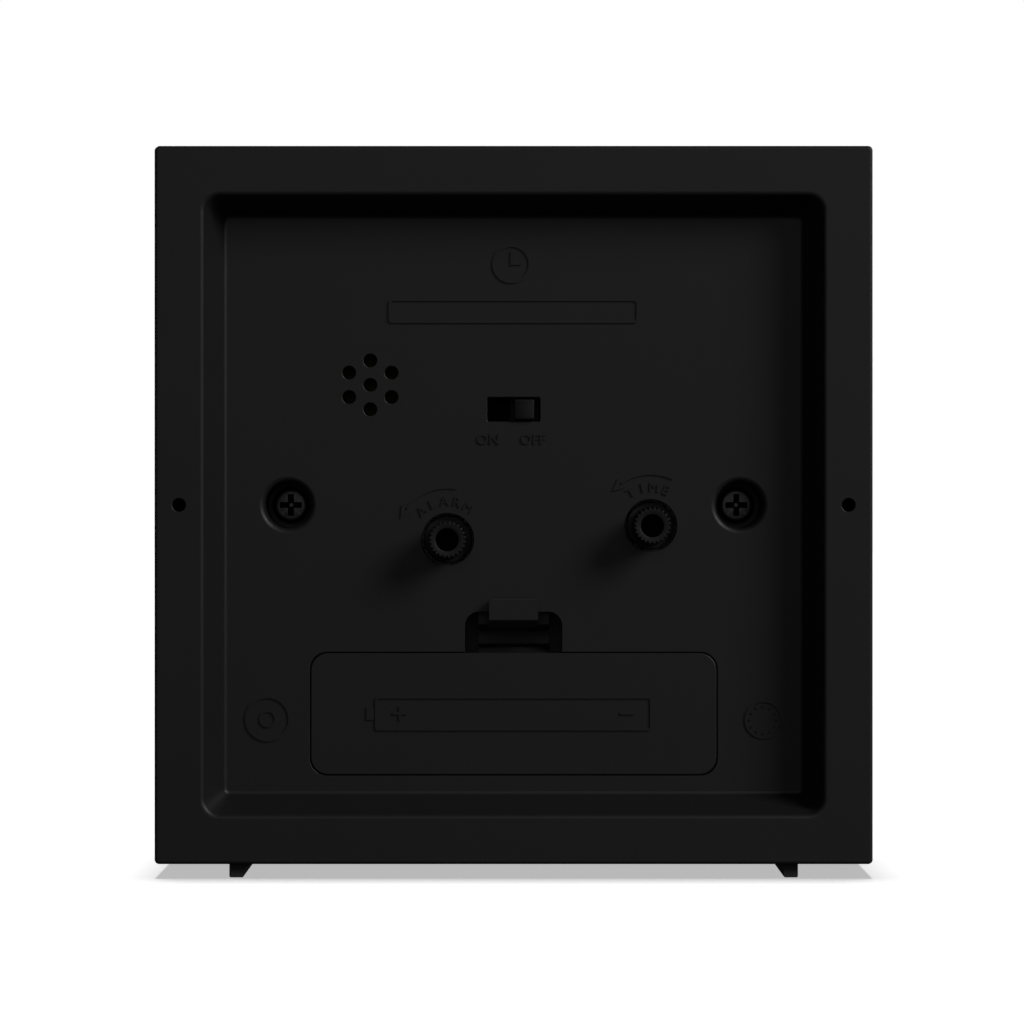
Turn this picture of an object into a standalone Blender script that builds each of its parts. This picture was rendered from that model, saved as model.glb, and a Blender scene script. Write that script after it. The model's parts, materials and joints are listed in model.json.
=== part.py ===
"""Square desk alarm clock with a battery quartz movement.

The dial faces -Y, the rear panel with its knobs faces +Y, and Z is up.
All lengths below are millimetres; heights written with ZR are measured from the middle of the case.
"""
import math

import bpy
import bmesh
from mathutils import Matrix, Vector
from mathutils.geometry import tessellate_polygon

MM = 0.001

# Case
CASE_HALF = 50.0
CASE_WALL = 2.0
CASE_CORNER_R = 0.65
CASE_EDGE = 0.5
FOOT_H = 2.0
MID_Z = FOOT_H + CASE_HALF
FRONT_Y = -20.0
REAR_Y = 20.0
PARTING_Y = -6.0
PARTING_GAP = 0.2
RIM_W = 6.8
LIP_R = 2.3
LIP_EDGE = 0.5
PANEL_Y = 13.0
PANEL_T = 2.0
PANEL_HALF = 40.7
PANEL_CORNER_R = 0.8
PANEL_IN_Y = PANEL_Y - PANEL_T
PINHOLE_X = 46.6
PINHOLE_R = 0.95

# Window, lens and dial
WINDOW_HALF = 44.0
WINDOW_R = 8.0
FRONT_LIP_T = 1.8
POCKET_HALF = 47.0
LENS_HALF = 46.7
LENS_Y = -18.0
LENS_T = 1.5
CORNER_CUT = 8.6
DIAL_Y = -10.1
DIAL_T = 0.6
SURROUND_HALF = 43.8
CORNER_POST = 4.4
CHASSIS_Y = -9.4
CHASSIS_T = 1.5
CHASSIS_SCREW_AT = 44.9
CHASSIS_SCREW_L = 5.0
CHASSIS_SHANK_R = 0.75
CHASSIS_HEAD_R = 1.55
CHASSIS_HEAD_T = 0.9
CHASSIS_HOLE_R = 1.1
POST_HOLE_R = 0.95
POST_HOLE_L = 5.5

# Case screws
SCREW_X = 31.8
BORE_R = 3.3
BORE_FLOOR_Y = 2.5
BOSS_FLOOR_T = 1.5
BOSS_R = 4.8
SCREW_HEAD_R = 2.6
SCREW_HEAD_T = 1.7
SCREW_SHANK_R = 1.25
SCREW_SHANK_L = 9.0
SCREW_RECESS_Y = 0.7
SCREW_DOME_Y = 1.2
CROSS_ARM = 1.5
CROSS_HALF = 0.45
SCREW_HOLE_R = 1.6
POST_R = 2.9
POST_TOP_Y = 0.7
POST_BORE_R = 1.5

# Grille and sounder
GRILLE_X = 20.2
GRILLE_ZR = 16.9
GRILLE_HOLE_R = 0.95
GRILLE_RING_R = 3.44
PIEZO_R = 9.0
PIEZO_Y = 8.2
PIEZO_T = 0.25
CERAMIC_R = 6.5

# Switch
SWITCH_ZR = 13.45
SWITCH_W = 7.4
SWITCH_H = 3.4
SLIDER = 2.8
SLIDER_OFF_X = -1.5
SLIDER_Y = 13.7
SLIDER_EDGE = 0.2
SLIDER_TIP_T = 0.25
SLIDE_PLATE_Y = 8.1
SLIDE_PLATE_T = 0.9
SLIDE_PLATE_HALF = 2.0
SLIDE_PLATE_RISE = 2.2
SWITCH_BODY_Y = 7.0
SWITCH_BODY_T = 3.5
SWITCH_BODY_HALF = 6.9
SWITCH_BODY_RISE = 3.3
CHANNEL_HALF = 5.6
CHANNEL_RISE = 2.6
CHEEK_IN_X = 7.3
CHEEK_OUT_X = 8.6
CHEEK_Y = 7.6
CHEEK_RISE = 3.4

# Knobs
TIME_X = -19.3
TIME_ZR = -2.9
ALARM_X = 9.3
ALARM_ZR = -4.85
KNOB_HOLE_R = 3.65
KNOB_FLANGE_R = 3.35
KNOB_TIP_R = 2.65
KNOB_ROOT_R = 2.4
KNOB_TEETH = 24
KNOB_BORE_R = 1.6
KNOB_END_Y = 19.6
KNOB_FLANGE_Y = 11.5
SHAFT_R = 1.5
SHAFT_END_Y = 11.5

# Battery bay, door and latch
BAY_ZR = -29.4
DOOR_W = 57.1
DOOR_H = 17.1
DOOR_T = 1.6
DOOR_R = 2.4
DOOR_GAP = 0.2
BAY_W = 53.6
BAY_H = 15.2
BAY_FLOOR_Y = -4.6
BAY_OUT_X = 30.0
BAY_OUT_Z = 9.8
BAY_FLOOR_T = 1.2
SEAT_Y = 11.2
CELL_R = 7.25
CELL_Y = 2.85
CELL_LEFT_X = -24.2
CELL_BODY_L = 49.5
CELL_NUB_L = 1.0
CELL_NUB_R = 2.75
NOTCH_HALF = 6.85
NOTCH_TOP_ZR = -15.0
NOTCH_R = 2.0
WELL_TOP_ZR = -13.9
WELL_FLOOR_Y = 4.4
WELL_WALL = 1.0
LATCH_HALF = 5.0
TAB_HALF = 3.45
LATCH_AXIS_Y = 5.6
LATCH_AXIS_ZR = -17.2
HINGE_Y = 13.0
HINGE_ZR = -37.95
TAB_IN_X = 13.0
TAB_OUT_X = 19.0
TAB_SLOT_Y = 8.4
TAB_INNER_Y = 9.6
DOOR_RIB_X = 24.0
CONTACT_T = 0.3
CONTACT_LOW_Y = -3.8
CONTACT_HIGH_Y = 9.6
CONTACT_HALF = 4.0
SPRING_TURNS = 2.5
SPRING_R = 3.6
SPRING_TAPER = 1.6
SPRING_L = 1.45
SPRING_WIRE_R = 0.25
LEG_HALF_T = 0.45
TAB_END_Y = 14.6
TAB_BACK_Y = 13.4
TAB_RISE = 4.2

# Feet
FOOT_OUT_X = 39.7
FOOT_WEB = 2.0
FOOT_TOP_W = 3.65
FOOT_FRONT_Y = -15.0
FOOT_REAR_Y = 18.0
FOOT_GAP = 0.05

# Movement
MOVE_LEFT = -25.5
MOVE_RIGHT = 20.0
MOVE_LOW = -12.0
MOVE_HIGH = 20.0
MOVE_WALL = 0.9
BASE_Y = -9.2
BASE_T = 1.5
BASE_IN_Y = BASE_Y + BASE_T
COVER_IN_Y = 5.4
COVER_T = 1.4
WHEEL_T = 0.8
ALARM_PLANE = -7.4
HOUR_PLANE = -6.3
MINUTE_PLANE = -5.2
MIDDLE_PLATE_Y = -4.1
CENTRE_PLANE = -3.0
THIRD_PLANE = -1.9
SECOND_PLANE = -0.8
INTER_PLANE = 0.3
STATOR_Y = 1.4
STATOR_T = 0.8
RUN_GAP = 0.3
PIVOT_GAP = 0.15
ARBOR_R = 0.45
MINUTE_TUBE = (0.75, 1.25)
HOUR_TUBE = (1.55, 2.0)
ALARM_TUBE = (2.3, 2.75)
BUSHING_R = 3.9
BUSHING_BORE = 3.05
BUSHING_END = -11.3

# Gears: teeth, and the modules that follow from the centre distances
ROTOR_T, INTER_T = 8, 48
INTER_P, SECOND_T = 8, 40
SECOND_P, THIRD_T = 8, 60
THIRD_P, CENTRE_T = 8, 64
CANNON_P, MINUTE_T = 12, 36
MINUTE_P, HOUR_T = 10, 40
TIME_P = 24
ALARM_P, ALARM_T = 12, 30
INTER_AT = (-6.2, 3.66)
ROTOR_AT = (-9.7, 9.72)
THIRD_AT = (4.5, 7.794)
MINUTE_DIST = 8.75
TOOTH_TIP = 0.75
TOOTH_ROOT = 1.05
TIP_SHARE = 0.16
ROOT_SHARE = 0.56

# Hands: y of the front face, and how far each points round the dial in degrees
HAND_T = 0.45
ALARM_HAND_Y = -12.0
HOUR_HAND_Y = -12.9
MINUTE_HAND_Y = -13.8
SECOND_HAND_Y = -14.7
HOUR_ANGLE = 304.3
MINUTE_ANGLE = 51.6
SECOND_ANGLE = 216.0
# Each hand: hub radius, width at the hub, width at the tip, length and tail
ALARM_SHAPE = (3.5, 2.0, 0.8, 20.0, 0.0)
HOUR_SHAPE = (2.9, 2.6, 2.0, 24.0, 6.0)
MINUTE_SHAPE = (2.4, 2.2, 1.5, 36.0, 7.0)
SECOND_SHAPE = (2.0, 0.9, 0.5, 37.0, 11.0)
ALARM_ANGLE = 180.0

ROUND = 24


def clear_scene():
    """Take every object out of the scene."""
    for item in list(bpy.data.objects):
        bpy.data.objects.remove(item, do_unlink=True)


def paint(name, colour, roughness, metallic=0.0):
    """Make one Principled material."""
    material = bpy.data.materials.new(name)
    material.use_nodes = True
    shader = material.node_tree.nodes["Principled BSDF"]
    shader.inputs["Base Color"].default_value = (*colour, 1.0)
    shader.inputs["Roughness"].default_value = roughness
    shader.inputs["Metallic"].default_value = metallic
    material.diffuse_color = (*colour, 1.0)
    return material


def circle(radius, count=ROUND, at=(0.0, 0.0)):
    """Points of a circle."""
    step = 2.0 * math.pi / count
    return [(at[0] + radius * math.cos(k * step), at[1] + radius * math.sin(k * step)) for k in range(count)]


def rounded(half_x, half_z, radius, at=(0.0, 0.0), steps=3):
    """Points of a rectangle with rounded corners, anticlockwise."""
    points = []
    corners = ((1, 1, 0.0), (-1, 1, 90.0), (-1, -1, 180.0), (1, -1, 270.0))
    for sign_x, sign_z, start in corners:
        for k in range(steps + 1):
            turn = math.radians(start + 90.0 * k / steps)
            x = sign_x * (half_x - radius) + radius * math.cos(turn)
            z = sign_z * (half_z - radius) + radius * math.sin(turn)
            points.append((at[0] + x, at[1] + z))
    return points


def rectangle(x0, x1, z0, z1):
    """Corners of a rectangle, anticlockwise."""
    return [(x0, z0), (x1, z0), (x1, z1), (x0, z1)]


def cut_square(half, cut):
    """A square with its four corners cut off, anticlockwise."""
    short = half - cut
    return [(half, -short), (half, short), (short, half), (-short, half),
            (-half, short), (-half, -short), (-short, -half), (short, -half)]


def gear(teeth, module, phase=0.0):
    """Outline of a spur gear; phase is the angle of one tooth."""
    pitch_r = 0.5 * teeth * module
    tip_r = pitch_r + TOOTH_TIP * module
    root_r = pitch_r - TOOTH_ROOT * module
    step = 2.0 * math.pi / teeth
    corners = ((root_r, -ROOT_SHARE), (tip_r, -TIP_SHARE), (tip_r, TIP_SHARE), (root_r, ROOT_SHARE))
    points = []
    for k in range(teeth):
        for radius, share in corners:
            turn = phase + step * (k + 0.5 * share)
            points.append((radius * math.cos(turn), radius * math.sin(turn)))
    return points


def meshing_phase(teeth_a, phase_a, at_a, teeth_b, at_b):
    """Phase of gear b so that its gaps meet the teeth of gear a."""
    line = math.atan2(at_b[1] - at_a[1], at_b[0] - at_a[0])
    return line + math.pi + (math.pi - (phase_a - line) * teeth_a) / teeth_b


def distance(a, b):
    """Distance between two points."""
    return math.hypot(a[0] - b[0], a[1] - b[1])


def two_circles(a, radius_a, b, radius_b, side):
    """Point at the given distances from a and b, on the chosen side of the line between them."""
    span = distance(a, b)
    along = (radius_a ** 2 - radius_b ** 2 + span ** 2) / (2.0 * span)
    across = side * math.sqrt(max(0.0, radius_a ** 2 - along ** 2))
    ux, uz = (b[0] - a[0]) / span, (b[1] - a[1]) / span
    return (a[0] + along * ux - across * uz, a[1] + along * uz + across * ux)


def flat_faces(loops, y, verts, faces, indices):
    """Fill the area between the first loop and the others."""
    flat = [[Vector((x, z, 0.0)) for x, z in loop] for loop in loops]
    order = [index for group in indices for index in group]
    for tri in tessellate_polygon(flat):
        faces.append([order[k] for k in tri])


def stack(layers):
    """Closed solid from layers along Y.

    A layer is (y0, y1, outline, holes) with holes a dictionary of outlines; an outline may be a pair
    (near y0, near y1) for a taper.  Neighbouring outlines are nested or the same.
    """
    verts = []
    faces = []

    def ring(outline, y):
        start = len(verts)
        verts.extend((x, y, z) for x, z in outline)
        return list(range(start, start + len(outline)))

    def wall(low, high):
        count = len(low)
        for k in range(count):
            after = (k + 1) % count
            faces.append([low[k], low[after], high[after], high[k]])

    def fill(parts, y):
        flat_faces([loop for loop, _ in parts], y, verts, faces, [index for _, index in parts])

    def size(outline):
        return max(x for x, _ in outline) - min(x for x, _ in outline)

    open_outer = None
    open_holes = {}
    for y0, y1, outline, holes in layers:
        low, high = outline if isinstance(outline, tuple) else (outline, outline)
        if open_outer is None:
            outer_low = ring(low, y0)
            hole_low = {key: ring(loop, y0) for key, loop in holes.items()}
            fill([(low, outer_low)] + [(loop, hole_low[key]) for key, loop in holes.items()], y0)
        else:
            old_loop, old_index = open_outer
            if old_loop == low:
                outer_low = old_index
            else:
                outer_low = ring(low, y0)
                pair = sorted([(old_loop, old_index), (low, outer_low)], key=lambda item: -size(item[0]))
                fill(pair, y0)
            hole_low = {}
            for key in sorted(set(open_holes) | set(holes)):
                if key in open_holes and key in holes and open_holes[key][0] == holes[key]:
                    hole_low[key] = open_holes[key][1]
                elif key in open_holes and key in holes:
                    hole_low[key] = ring(holes[key], y0)
                    pair = [open_holes[key], (holes[key], hole_low[key])]
                    fill(sorted(pair, key=lambda item: -size(item[0])), y0)
                elif key in open_holes:
                    fill([open_holes[key]], y0)
                else:
                    hole_low[key] = ring(holes[key], y0)
                    fill([(holes[key], hole_low[key])], y0)
        outer_high = ring(high, y1)
        wall(outer_low, outer_high)
        open_outer = (high, outer_high)
        open_holes = {}
        for key, loop in holes.items():
            top = ring(loop, y1)
            wall(hole_low[key], top)
            open_holes[key] = (loop, top)
    fill([open_outer] + list(open_holes.values()), layers[-1][1])
    return verts, faces


def loft(loops, close_ends):
    """Closed solid through loops (outline, y) of equal length.

    With close_ends the first and last loops are filled; otherwise the last joins the first.
    """
    verts = []
    faces = []
    rings = []
    for outline, y in loops:
        start = len(verts)
        verts.extend((x, y, z) for x, z in outline)
        rings.append(list(range(start, start + len(outline))))
    pairs = list(zip(rings, rings[1:]))
    if not close_ends:
        pairs.append((rings[-1], rings[0]))
    for low, high in pairs:
        for k in range(len(low)):
            after = (k + 1) % len(low)
            faces.append([low[k], low[after], high[after], high[k]])
    if close_ends:
        for (outline, y), ring in ((loops[0], rings[0]), (loops[-1], rings[-1])):
            flat_faces([outline], y, verts, faces, [ring])
    return verts, faces


def prism(outline, y0, y1, holes=()):
    """Closed solid from one outline and holes that go right through."""
    return stack([(y0, y1, outline, {str(k): loop for k, loop in enumerate(holes)})])


def add(name, solid, material, at=(0.0, 0.0, 0.0), turn=None, smooth=None):
    """Make an object from a solid; at is its place in millimetres with Z from the middle of the case."""
    verts, faces = solid
    mesh = bpy.data.meshes.new(name)
    work = bmesh.new()
    made = [work.verts.new((x * MM, y * MM, z * MM)) for x, y, z in verts]
    for face in faces:
        work.faces.new([made[k] for k in face])
    bmesh.ops.recalc_face_normals(work, faces=work.faces)
    work.to_mesh(mesh)
    work.free()
    item = bpy.data.objects.new(name, mesh)
    bpy.context.scene.collection.objects.link(item)
    item.location = (at[0] * MM, at[1] * MM, (at[2] + MID_Z) * MM)
    if turn is not None:
        item.rotation_euler = turn
    mesh.materials.append(material)
    if smooth is not None:
        mesh.shade_smooth()
        mesh.set_sharp_from_angle(angle=math.radians(smooth))
    return item


def combine(item, tools, operation):
    """Apply solids to an object as Booleans, worked out in millimetres, and drop them."""
    place = item.location.copy()
    item.location = (0.0, 0.0, 0.0)
    item.data.transform(Matrix.Scale(1.0 / MM, 4))
    for solid in tools:
        tool = add("tool", solid, item.data.materials[0])
        tool.location = (0.0, 0.0, 0.0)
        tool.data.transform(Matrix.Scale(1.0 / MM, 4))
        change = item.modifiers.new("combine", "BOOLEAN")
        change.operation = operation
        change.solver = "EXACT"
        change.object = tool
        bpy.context.view_layer.update()
        ready = item.evaluated_get(bpy.context.evaluated_depsgraph_get())
        fresh = bpy.data.meshes.new_from_object(ready)
        item.modifiers.remove(change)
        old = item.data
        item.data = fresh
        bpy.data.meshes.remove(old)
        bpy.data.objects.remove(tool, do_unlink=True)
    item.data.transform(Matrix.Scale(MM, 4))
    item.data.name = item.name
    item.location = place


def plain(item):
    """Merge the flat areas a Boolean has cut up, then turn the result into triangles."""
    work = bmesh.new()
    work.from_mesh(item.data)
    bmesh.ops.remove_doubles(work, verts=work.verts, dist=0.004 * MM)
    bmesh.ops.dissolve_limit(work, angle_limit=math.radians(0.2), verts=work.verts, edges=work.edges)
    bmesh.ops.triangulate(work, faces=work.faces)
    work.to_mesh(item.data)
    work.free()


def shifted(outline, at):
    """The same outline moved."""
    return [(x + at[0], z + at[1]) for x, z in outline]


def box(x0, x1, y0, y1, z0, z1):
    """A plain block."""
    return prism(rectangle(x0, x1, z0, z1), y0, y1)


def across(profile, half, at=(0.0, 0.0)):
    """A solid whose (y, z) outline runs from -half to half along X, seen from the point at."""
    verts, faces = prism([(z, y) for y, z in profile], -half, half)
    return [(x, y - at[0], z - at[1]) for z, x, y in verts], faces


def disc(radius, y0, y1, at=(0.0, 0.0), count=ROUND):
    """A plain cylinder along Y."""
    return prism(circle(radius, count, at), y0, y1)


def wire(name, points, radius, material):
    """A round wire through points given in millimetres."""
    curve = bpy.data.curves.new(name, "CURVE")
    curve.dimensions = "3D"
    curve.bevel_depth = radius * MM
    curve.bevel_resolution = 2
    curve.resolution_u = 1
    curve.use_fill_caps = True
    spline = curve.splines.new("POLY")
    spline.points.add(len(points) - 1)
    for point, (x, y, z) in zip(spline.points, points):
        point.co = (x * MM, y * MM, z * MM, 1.0)
    item = bpy.data.objects.new(name, curve)
    bpy.context.scene.collection.objects.link(item)
    item.location = (0.0, 0.0, MID_Z * MM)
    curve.materials.append(material)
    return item


def smooth_path(corners, bend, steps=3):
    """Points along straight runs with rounded bends."""
    points = [corners[0]]
    for before, here, after in zip(corners, corners[1:], corners[2:]):
        here = Vector(here)
        back = (Vector(before) - here)
        ahead = (Vector(after) - here)
        reach = min(bend, 0.45 * back.length, 0.45 * ahead.length)
        start = here + back.normalized() * reach
        end = here + ahead.normalized() * reach
        for k in range(steps + 1):
            t = k / steps
            spot = start * (1 - t) ** 2 + here * 2 * t * (1 - t) + end * t ** 2
            points.append(tuple(spot))
    points.append(corners[-1])
    return points


def hand(hub_r, bore_r, root_w, tip_w, length, tail, angle, y_front):
    """A flat hand: hub with a bore, a tapering blade and a tail, pointing round the dial by angle."""
    points = []
    ends = ((0.5 * root_w, 0.5 * tip_w, length), (0.5 * root_w, 0.5 * root_w, -tail))
    lean = [math.asin(root / hub_r) for root, _, _ in ends]
    arc = 6
    root, tip, reach = ends[0]
    points += [(tip, reach), (-tip, reach)]
    start = math.pi / 2 + lean[0]
    if tail > hub_r:
        stop = 3 * math.pi / 2 - lean[1]
        for k in range(arc + 1):
            turn = start + (stop - start) * k / arc
            points.append((hub_r * math.cos(turn), hub_r * math.sin(turn)))
        points += [(-0.5 * root_w, -tail), (0.5 * root_w, -tail)]
        start = 3 * math.pi / 2 + lean[1]
    stop = 5 * math.pi / 2 - lean[0]
    for k in range(arc + 1 if tail > hub_r else 2 * arc + 1):
        share = k / (arc if tail > hub_r else 2 * arc)
        turn = start + (stop - start) * share
        points.append((hub_r * math.cos(turn), hub_r * math.sin(turn)))
    swing = math.radians(angle)
    turned = [(x * math.cos(swing) + z * math.sin(swing), z * math.cos(swing) - x * math.sin(swing))
              for x, z in points]
    return prism(turned, y_front, y_front + HAND_T, [circle(bore_r, 16)] if bore_r else ())


clear_scene()

# One material for each finish
black_shell = paint("case_black", (0.018, 0.018, 0.018), 0.5)
black_part = paint("part_black", (0.02, 0.02, 0.021), 0.45)
white_dial = paint("dial_white", (0.82, 0.82, 0.80), 0.6)
clear_lens = paint("lens_clear", (0.9, 0.92, 0.93), 0.03)
white_plastic = paint("plastic_natural", (0.75, 0.74, 0.69), 0.45)
hand_black = paint("hand_black", (0.015, 0.015, 0.015), 0.4)
hand_red = paint("hand_red", (0.62, 0.03, 0.02), 0.4)
hand_gold = paint("hand_gold", (0.72, 0.45, 0.10), 0.35)
screw_steel = paint("screw_black", (0.06, 0.06, 0.06), 0.35, 1.0)
steel = paint("steel_bright", (0.55, 0.55, 0.55), 0.3, 1.0)
brass = paint("brass", (0.72, 0.50, 0.20), 0.32, 1.0)
copper = paint("copper_wire", (0.70, 0.26, 0.09), 0.35, 1.0)
board_green = paint("board_green", (0.02, 0.16, 0.07), 0.5)
chip_black = paint("chip_black", (0.02, 0.02, 0.02), 0.6)
magnet_grey = paint("magnet_grey", (0.12, 0.12, 0.13), 0.5, 0.6)
cell_dark = paint("cell_dark", (0.03, 0.03, 0.035), 0.3)
red_cover = paint("wire_red", (0.6, 0.02, 0.02), 0.5)
black_cover = paint("wire_black", (0.02, 0.02, 0.02), 0.5)
ceramic = paint("ceramic_white", (0.78, 0.76, 0.70), 0.5)

# Rear cover: the shell, then what is joined to it, then what is cut away
lip_half = CASE_HALF - RIM_W
edge = CASE_EDGE
wall_in = CASE_HALF - CASE_WALL
shell = [
    (rounded(PANEL_HALF, PANEL_HALF, PANEL_CORNER_R), PANEL_Y),
    (rounded(lip_half - 0.2, lip_half - 0.2, LIP_R - 0.2), REAR_Y - LIP_EDGE),
    (rounded(lip_half + 0.3, lip_half + 0.3, LIP_R + 0.3), REAR_Y),
    (rounded(CASE_HALF - edge, CASE_HALF - edge, CASE_CORNER_R), REAR_Y),
    (rounded(CASE_HALF, CASE_HALF, CASE_CORNER_R), REAR_Y - edge),
    (rounded(CASE_HALF, CASE_HALF, CASE_CORNER_R), PARTING_Y),
    (rounded(wall_in, wall_in, CASE_CORNER_R), PARTING_Y),
    (rounded(wall_in, wall_in, CASE_CORNER_R), REAR_Y - CASE_WALL),
    (rounded(lip_half + 2.2, lip_half + 2.2, LIP_R), REAR_Y - CASE_WALL),
    (rounded(PANEL_HALF + 2.2, PANEL_HALF + 2.2, LIP_R), PANEL_IN_Y),
]
rear_cover = add("rear_cover", loft(shell, True), black_shell)
root_y = PANEL_IN_Y + 0.5
well_in_low = BAY_ZR + 0.5 * DOOR_H - 0.4
joined = [
    box(-BAY_OUT_X, BAY_OUT_X, BAY_FLOOR_Y - BAY_FLOOR_T, root_y, BAY_ZR - BAY_OUT_Z, BAY_ZR + BAY_OUT_Z),
    box(-NOTCH_HALF - 1.2, NOTCH_HALF + 1.2, WELL_FLOOR_Y - WELL_WALL, root_y,
        BAY_ZR + BAY_OUT_Z - 1.0, WELL_TOP_ZR + WELL_WALL),
    disc(BOSS_R, BORE_FLOOR_Y - BOSS_FLOOR_T, root_y, (-SCREW_X, 0.0)),
    disc(BOSS_R, BORE_FLOOR_Y - BOSS_FLOOR_T, root_y, (SCREW_X, 0.0)),
    prism(circle(PIEZO_R + 1.4, ROUND, (GRILLE_X, GRILLE_ZR)), PIEZO_Y - 0.6, root_y,
          [circle(PIEZO_R + 0.3, ROUND, (GRILLE_X, GRILLE_ZR))]),
    prism(circle(PIEZO_R, ROUND, (GRILLE_X, GRILLE_ZR)), PIEZO_Y + 0.4, root_y,
          [circle(PIEZO_R - 1.2, ROUND, (GRILLE_X, GRILLE_ZR))]),
    box(-CHEEK_OUT_X, -CHEEK_IN_X, CHEEK_Y, root_y, SWITCH_ZR - CHEEK_RISE, SWITCH_ZR + CHEEK_RISE),
    box(CHEEK_IN_X, CHEEK_OUT_X, CHEEK_Y, root_y, SWITCH_ZR - CHEEK_RISE, SWITCH_ZR + CHEEK_RISE),
]
combine(rear_cover, joined, "UNION")
beyond = PANEL_Y + 1.0
door_x = 0.5 * DOOR_W + DOOR_GAP
door_z = 0.5 * DOOR_H + DOOR_GAP
grille = [(GRILLE_X, GRILLE_ZR)]
for k in range(6):
    turn = math.radians(90.0 + 60.0 * k)
    grille.append((GRILLE_X + GRILLE_RING_R * math.cos(turn), GRILLE_ZR + GRILLE_RING_R * math.sin(turn)))
notch = [(-NOTCH_HALF, well_in_low), (NOTCH_HALF, well_in_low)]
notch += [point for point in rounded(NOTCH_HALF, 5.0, NOTCH_R, (0.0, NOTCH_TOP_ZR - 5.0))
          if point[1] > NOTCH_TOP_ZR - 5.0]
removed = [
    prism(notch, PANEL_IN_Y - 0.4, beyond),
    prism(rounded(door_x, door_z, DOOR_R, (0.0, BAY_ZR)), SEAT_Y, beyond),
    box(-0.5 * BAY_W, 0.5 * BAY_W, BAY_FLOOR_Y, SEAT_Y + 1.0, BAY_ZR - 0.5 * BAY_H, BAY_ZR + 0.5 * BAY_H),
    across([(PANEL_IN_Y, WELL_TOP_ZR), (WELL_FLOOR_Y, WELL_TOP_ZR), (WELL_FLOOR_Y, well_in_low),
            (beyond, well_in_low), (beyond, well_in_low + 1.5), (PANEL_IN_Y, well_in_low + 1.5)],
           NOTCH_HALF - 0.01),
    box(-TAB_OUT_X - 1.0, 1.0 - TAB_IN_X, TAB_SLOT_Y, SEAT_Y + 0.4,
        HINGE_ZR - 1.7, BAY_ZR - 0.5 * BAY_H + 1.0),
    box(TAB_IN_X - 1.0, TAB_OUT_X + 1.0, TAB_SLOT_Y, SEAT_Y + 0.4,
        HINGE_ZR - 1.7, BAY_ZR - 0.5 * BAY_H + 1.0),
    disc(KNOB_HOLE_R, PANEL_IN_Y - 1.0, beyond, (TIME_X, TIME_ZR)),
    disc(KNOB_HOLE_R, PANEL_IN_Y - 1.0, beyond, (ALARM_X, ALARM_ZR)),
    box(-0.5 * SWITCH_W, 0.5 * SWITCH_W, PANEL_IN_Y - 1.0, beyond,
        SWITCH_ZR - 0.5 * SWITCH_H, SWITCH_ZR + 0.5 * SWITCH_H),
    disc(PINHOLE_R, REAR_Y - CASE_WALL - 1.0, REAR_Y + 1.0, (-PINHOLE_X, 0.0), 12),
    disc(PINHOLE_R, REAR_Y - CASE_WALL - 1.0, REAR_Y + 1.0, (PINHOLE_X, 0.0), 12),
]
boss_end = BORE_FLOOR_Y - BOSS_FLOOR_T - 1.0
for at in ((-SCREW_X, 0.0), (SCREW_X, 0.0)):
    removed.append(stack([(boss_end, BORE_FLOOR_Y, circle(SCREW_HOLE_R, 12, at), {}),
                          (BORE_FLOOR_Y, beyond, circle(BORE_R, ROUND, at), {})]))
removed += [disc(GRILLE_HOLE_R, PANEL_IN_Y - 1.0, beyond, at, 12) for at in grille]
combine(rear_cover, removed, "DIFFERENCE")
plain(rear_cover)

# Front housing: a frame whose lip holds the lens, with a screw post in each corner
lip_in = FRONT_Y + FRONT_LIP_T
frame_loops = [
    (rounded(CASE_HALF, CASE_HALF, CASE_CORNER_R, steps=5), PARTING_Y - PARTING_GAP),
    (rounded(CASE_HALF, CASE_HALF, CASE_CORNER_R, steps=5), FRONT_Y + edge),
    (rounded(CASE_HALF - edge, CASE_HALF - edge, CASE_CORNER_R, steps=5), FRONT_Y),
    (rounded(WINDOW_HALF + edge, WINDOW_HALF + edge, WINDOW_R + edge, steps=5), FRONT_Y),
    (rounded(WINDOW_HALF, WINDOW_HALF, WINDOW_R, steps=5), FRONT_Y + edge),
    (rounded(WINDOW_HALF, WINDOW_HALF, WINDOW_R, steps=5), lip_in),
    (rounded(POCKET_HALF, POCKET_HALF, 1.0, steps=5), lip_in),
    (rounded(POCKET_HALF, POCKET_HALF, 1.0, steps=5), PARTING_Y - PARTING_GAP),
]
front_housing = add("front_housing", loft(frame_loops, False), black_shell)
post_in = POCKET_HALF - CORNER_POST
posts = []
holes = []
for sx in (-1, 1):
    for sz in (-1, 1):
        x0, x1 = sorted((sx * post_in, sx * (POCKET_HALF + 1.0)))
        z0, z1 = sorted((sz * post_in, sz * (POCKET_HALF + 1.0)))
        posts.append(box(x0, x1, lip_in - 0.6, CHASSIS_Y - PARTING_GAP, z0, z1))
        at = (sx * CHASSIS_SCREW_AT, sz * CHASSIS_SCREW_AT)
        holes.append(disc(POST_HOLE_R, CHASSIS_Y - POST_HOLE_L, CHASSIS_Y + 1.0, at, 12))
combine(front_housing, posts, "UNION")
combine(front_housing, holes, "DIFFERENCE")
plain(front_housing)

# Lens, surround and dial share the cut corners that clear the posts
add("lens", prism(cut_square(LENS_HALF, CORNER_CUT), LENS_Y, LENS_Y + LENS_T), clear_lens)
surround_hole = rounded(SURROUND_HALF, SURROUND_HALF, WINDOW_R, steps=5)
add("dial_surround", prism(cut_square(LENS_HALF, CORNER_CUT), LENS_Y + LENS_T + 0.2, DIAL_Y - 0.2,
                           [surround_hole]), black_part)
add("dial", prism(cut_square(LENS_HALF, CORNER_CUT), DIAL_Y, DIAL_Y + DIAL_T,
                  [circle(BUSHING_R + 0.3, ROUND)]), white_dial)

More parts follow.
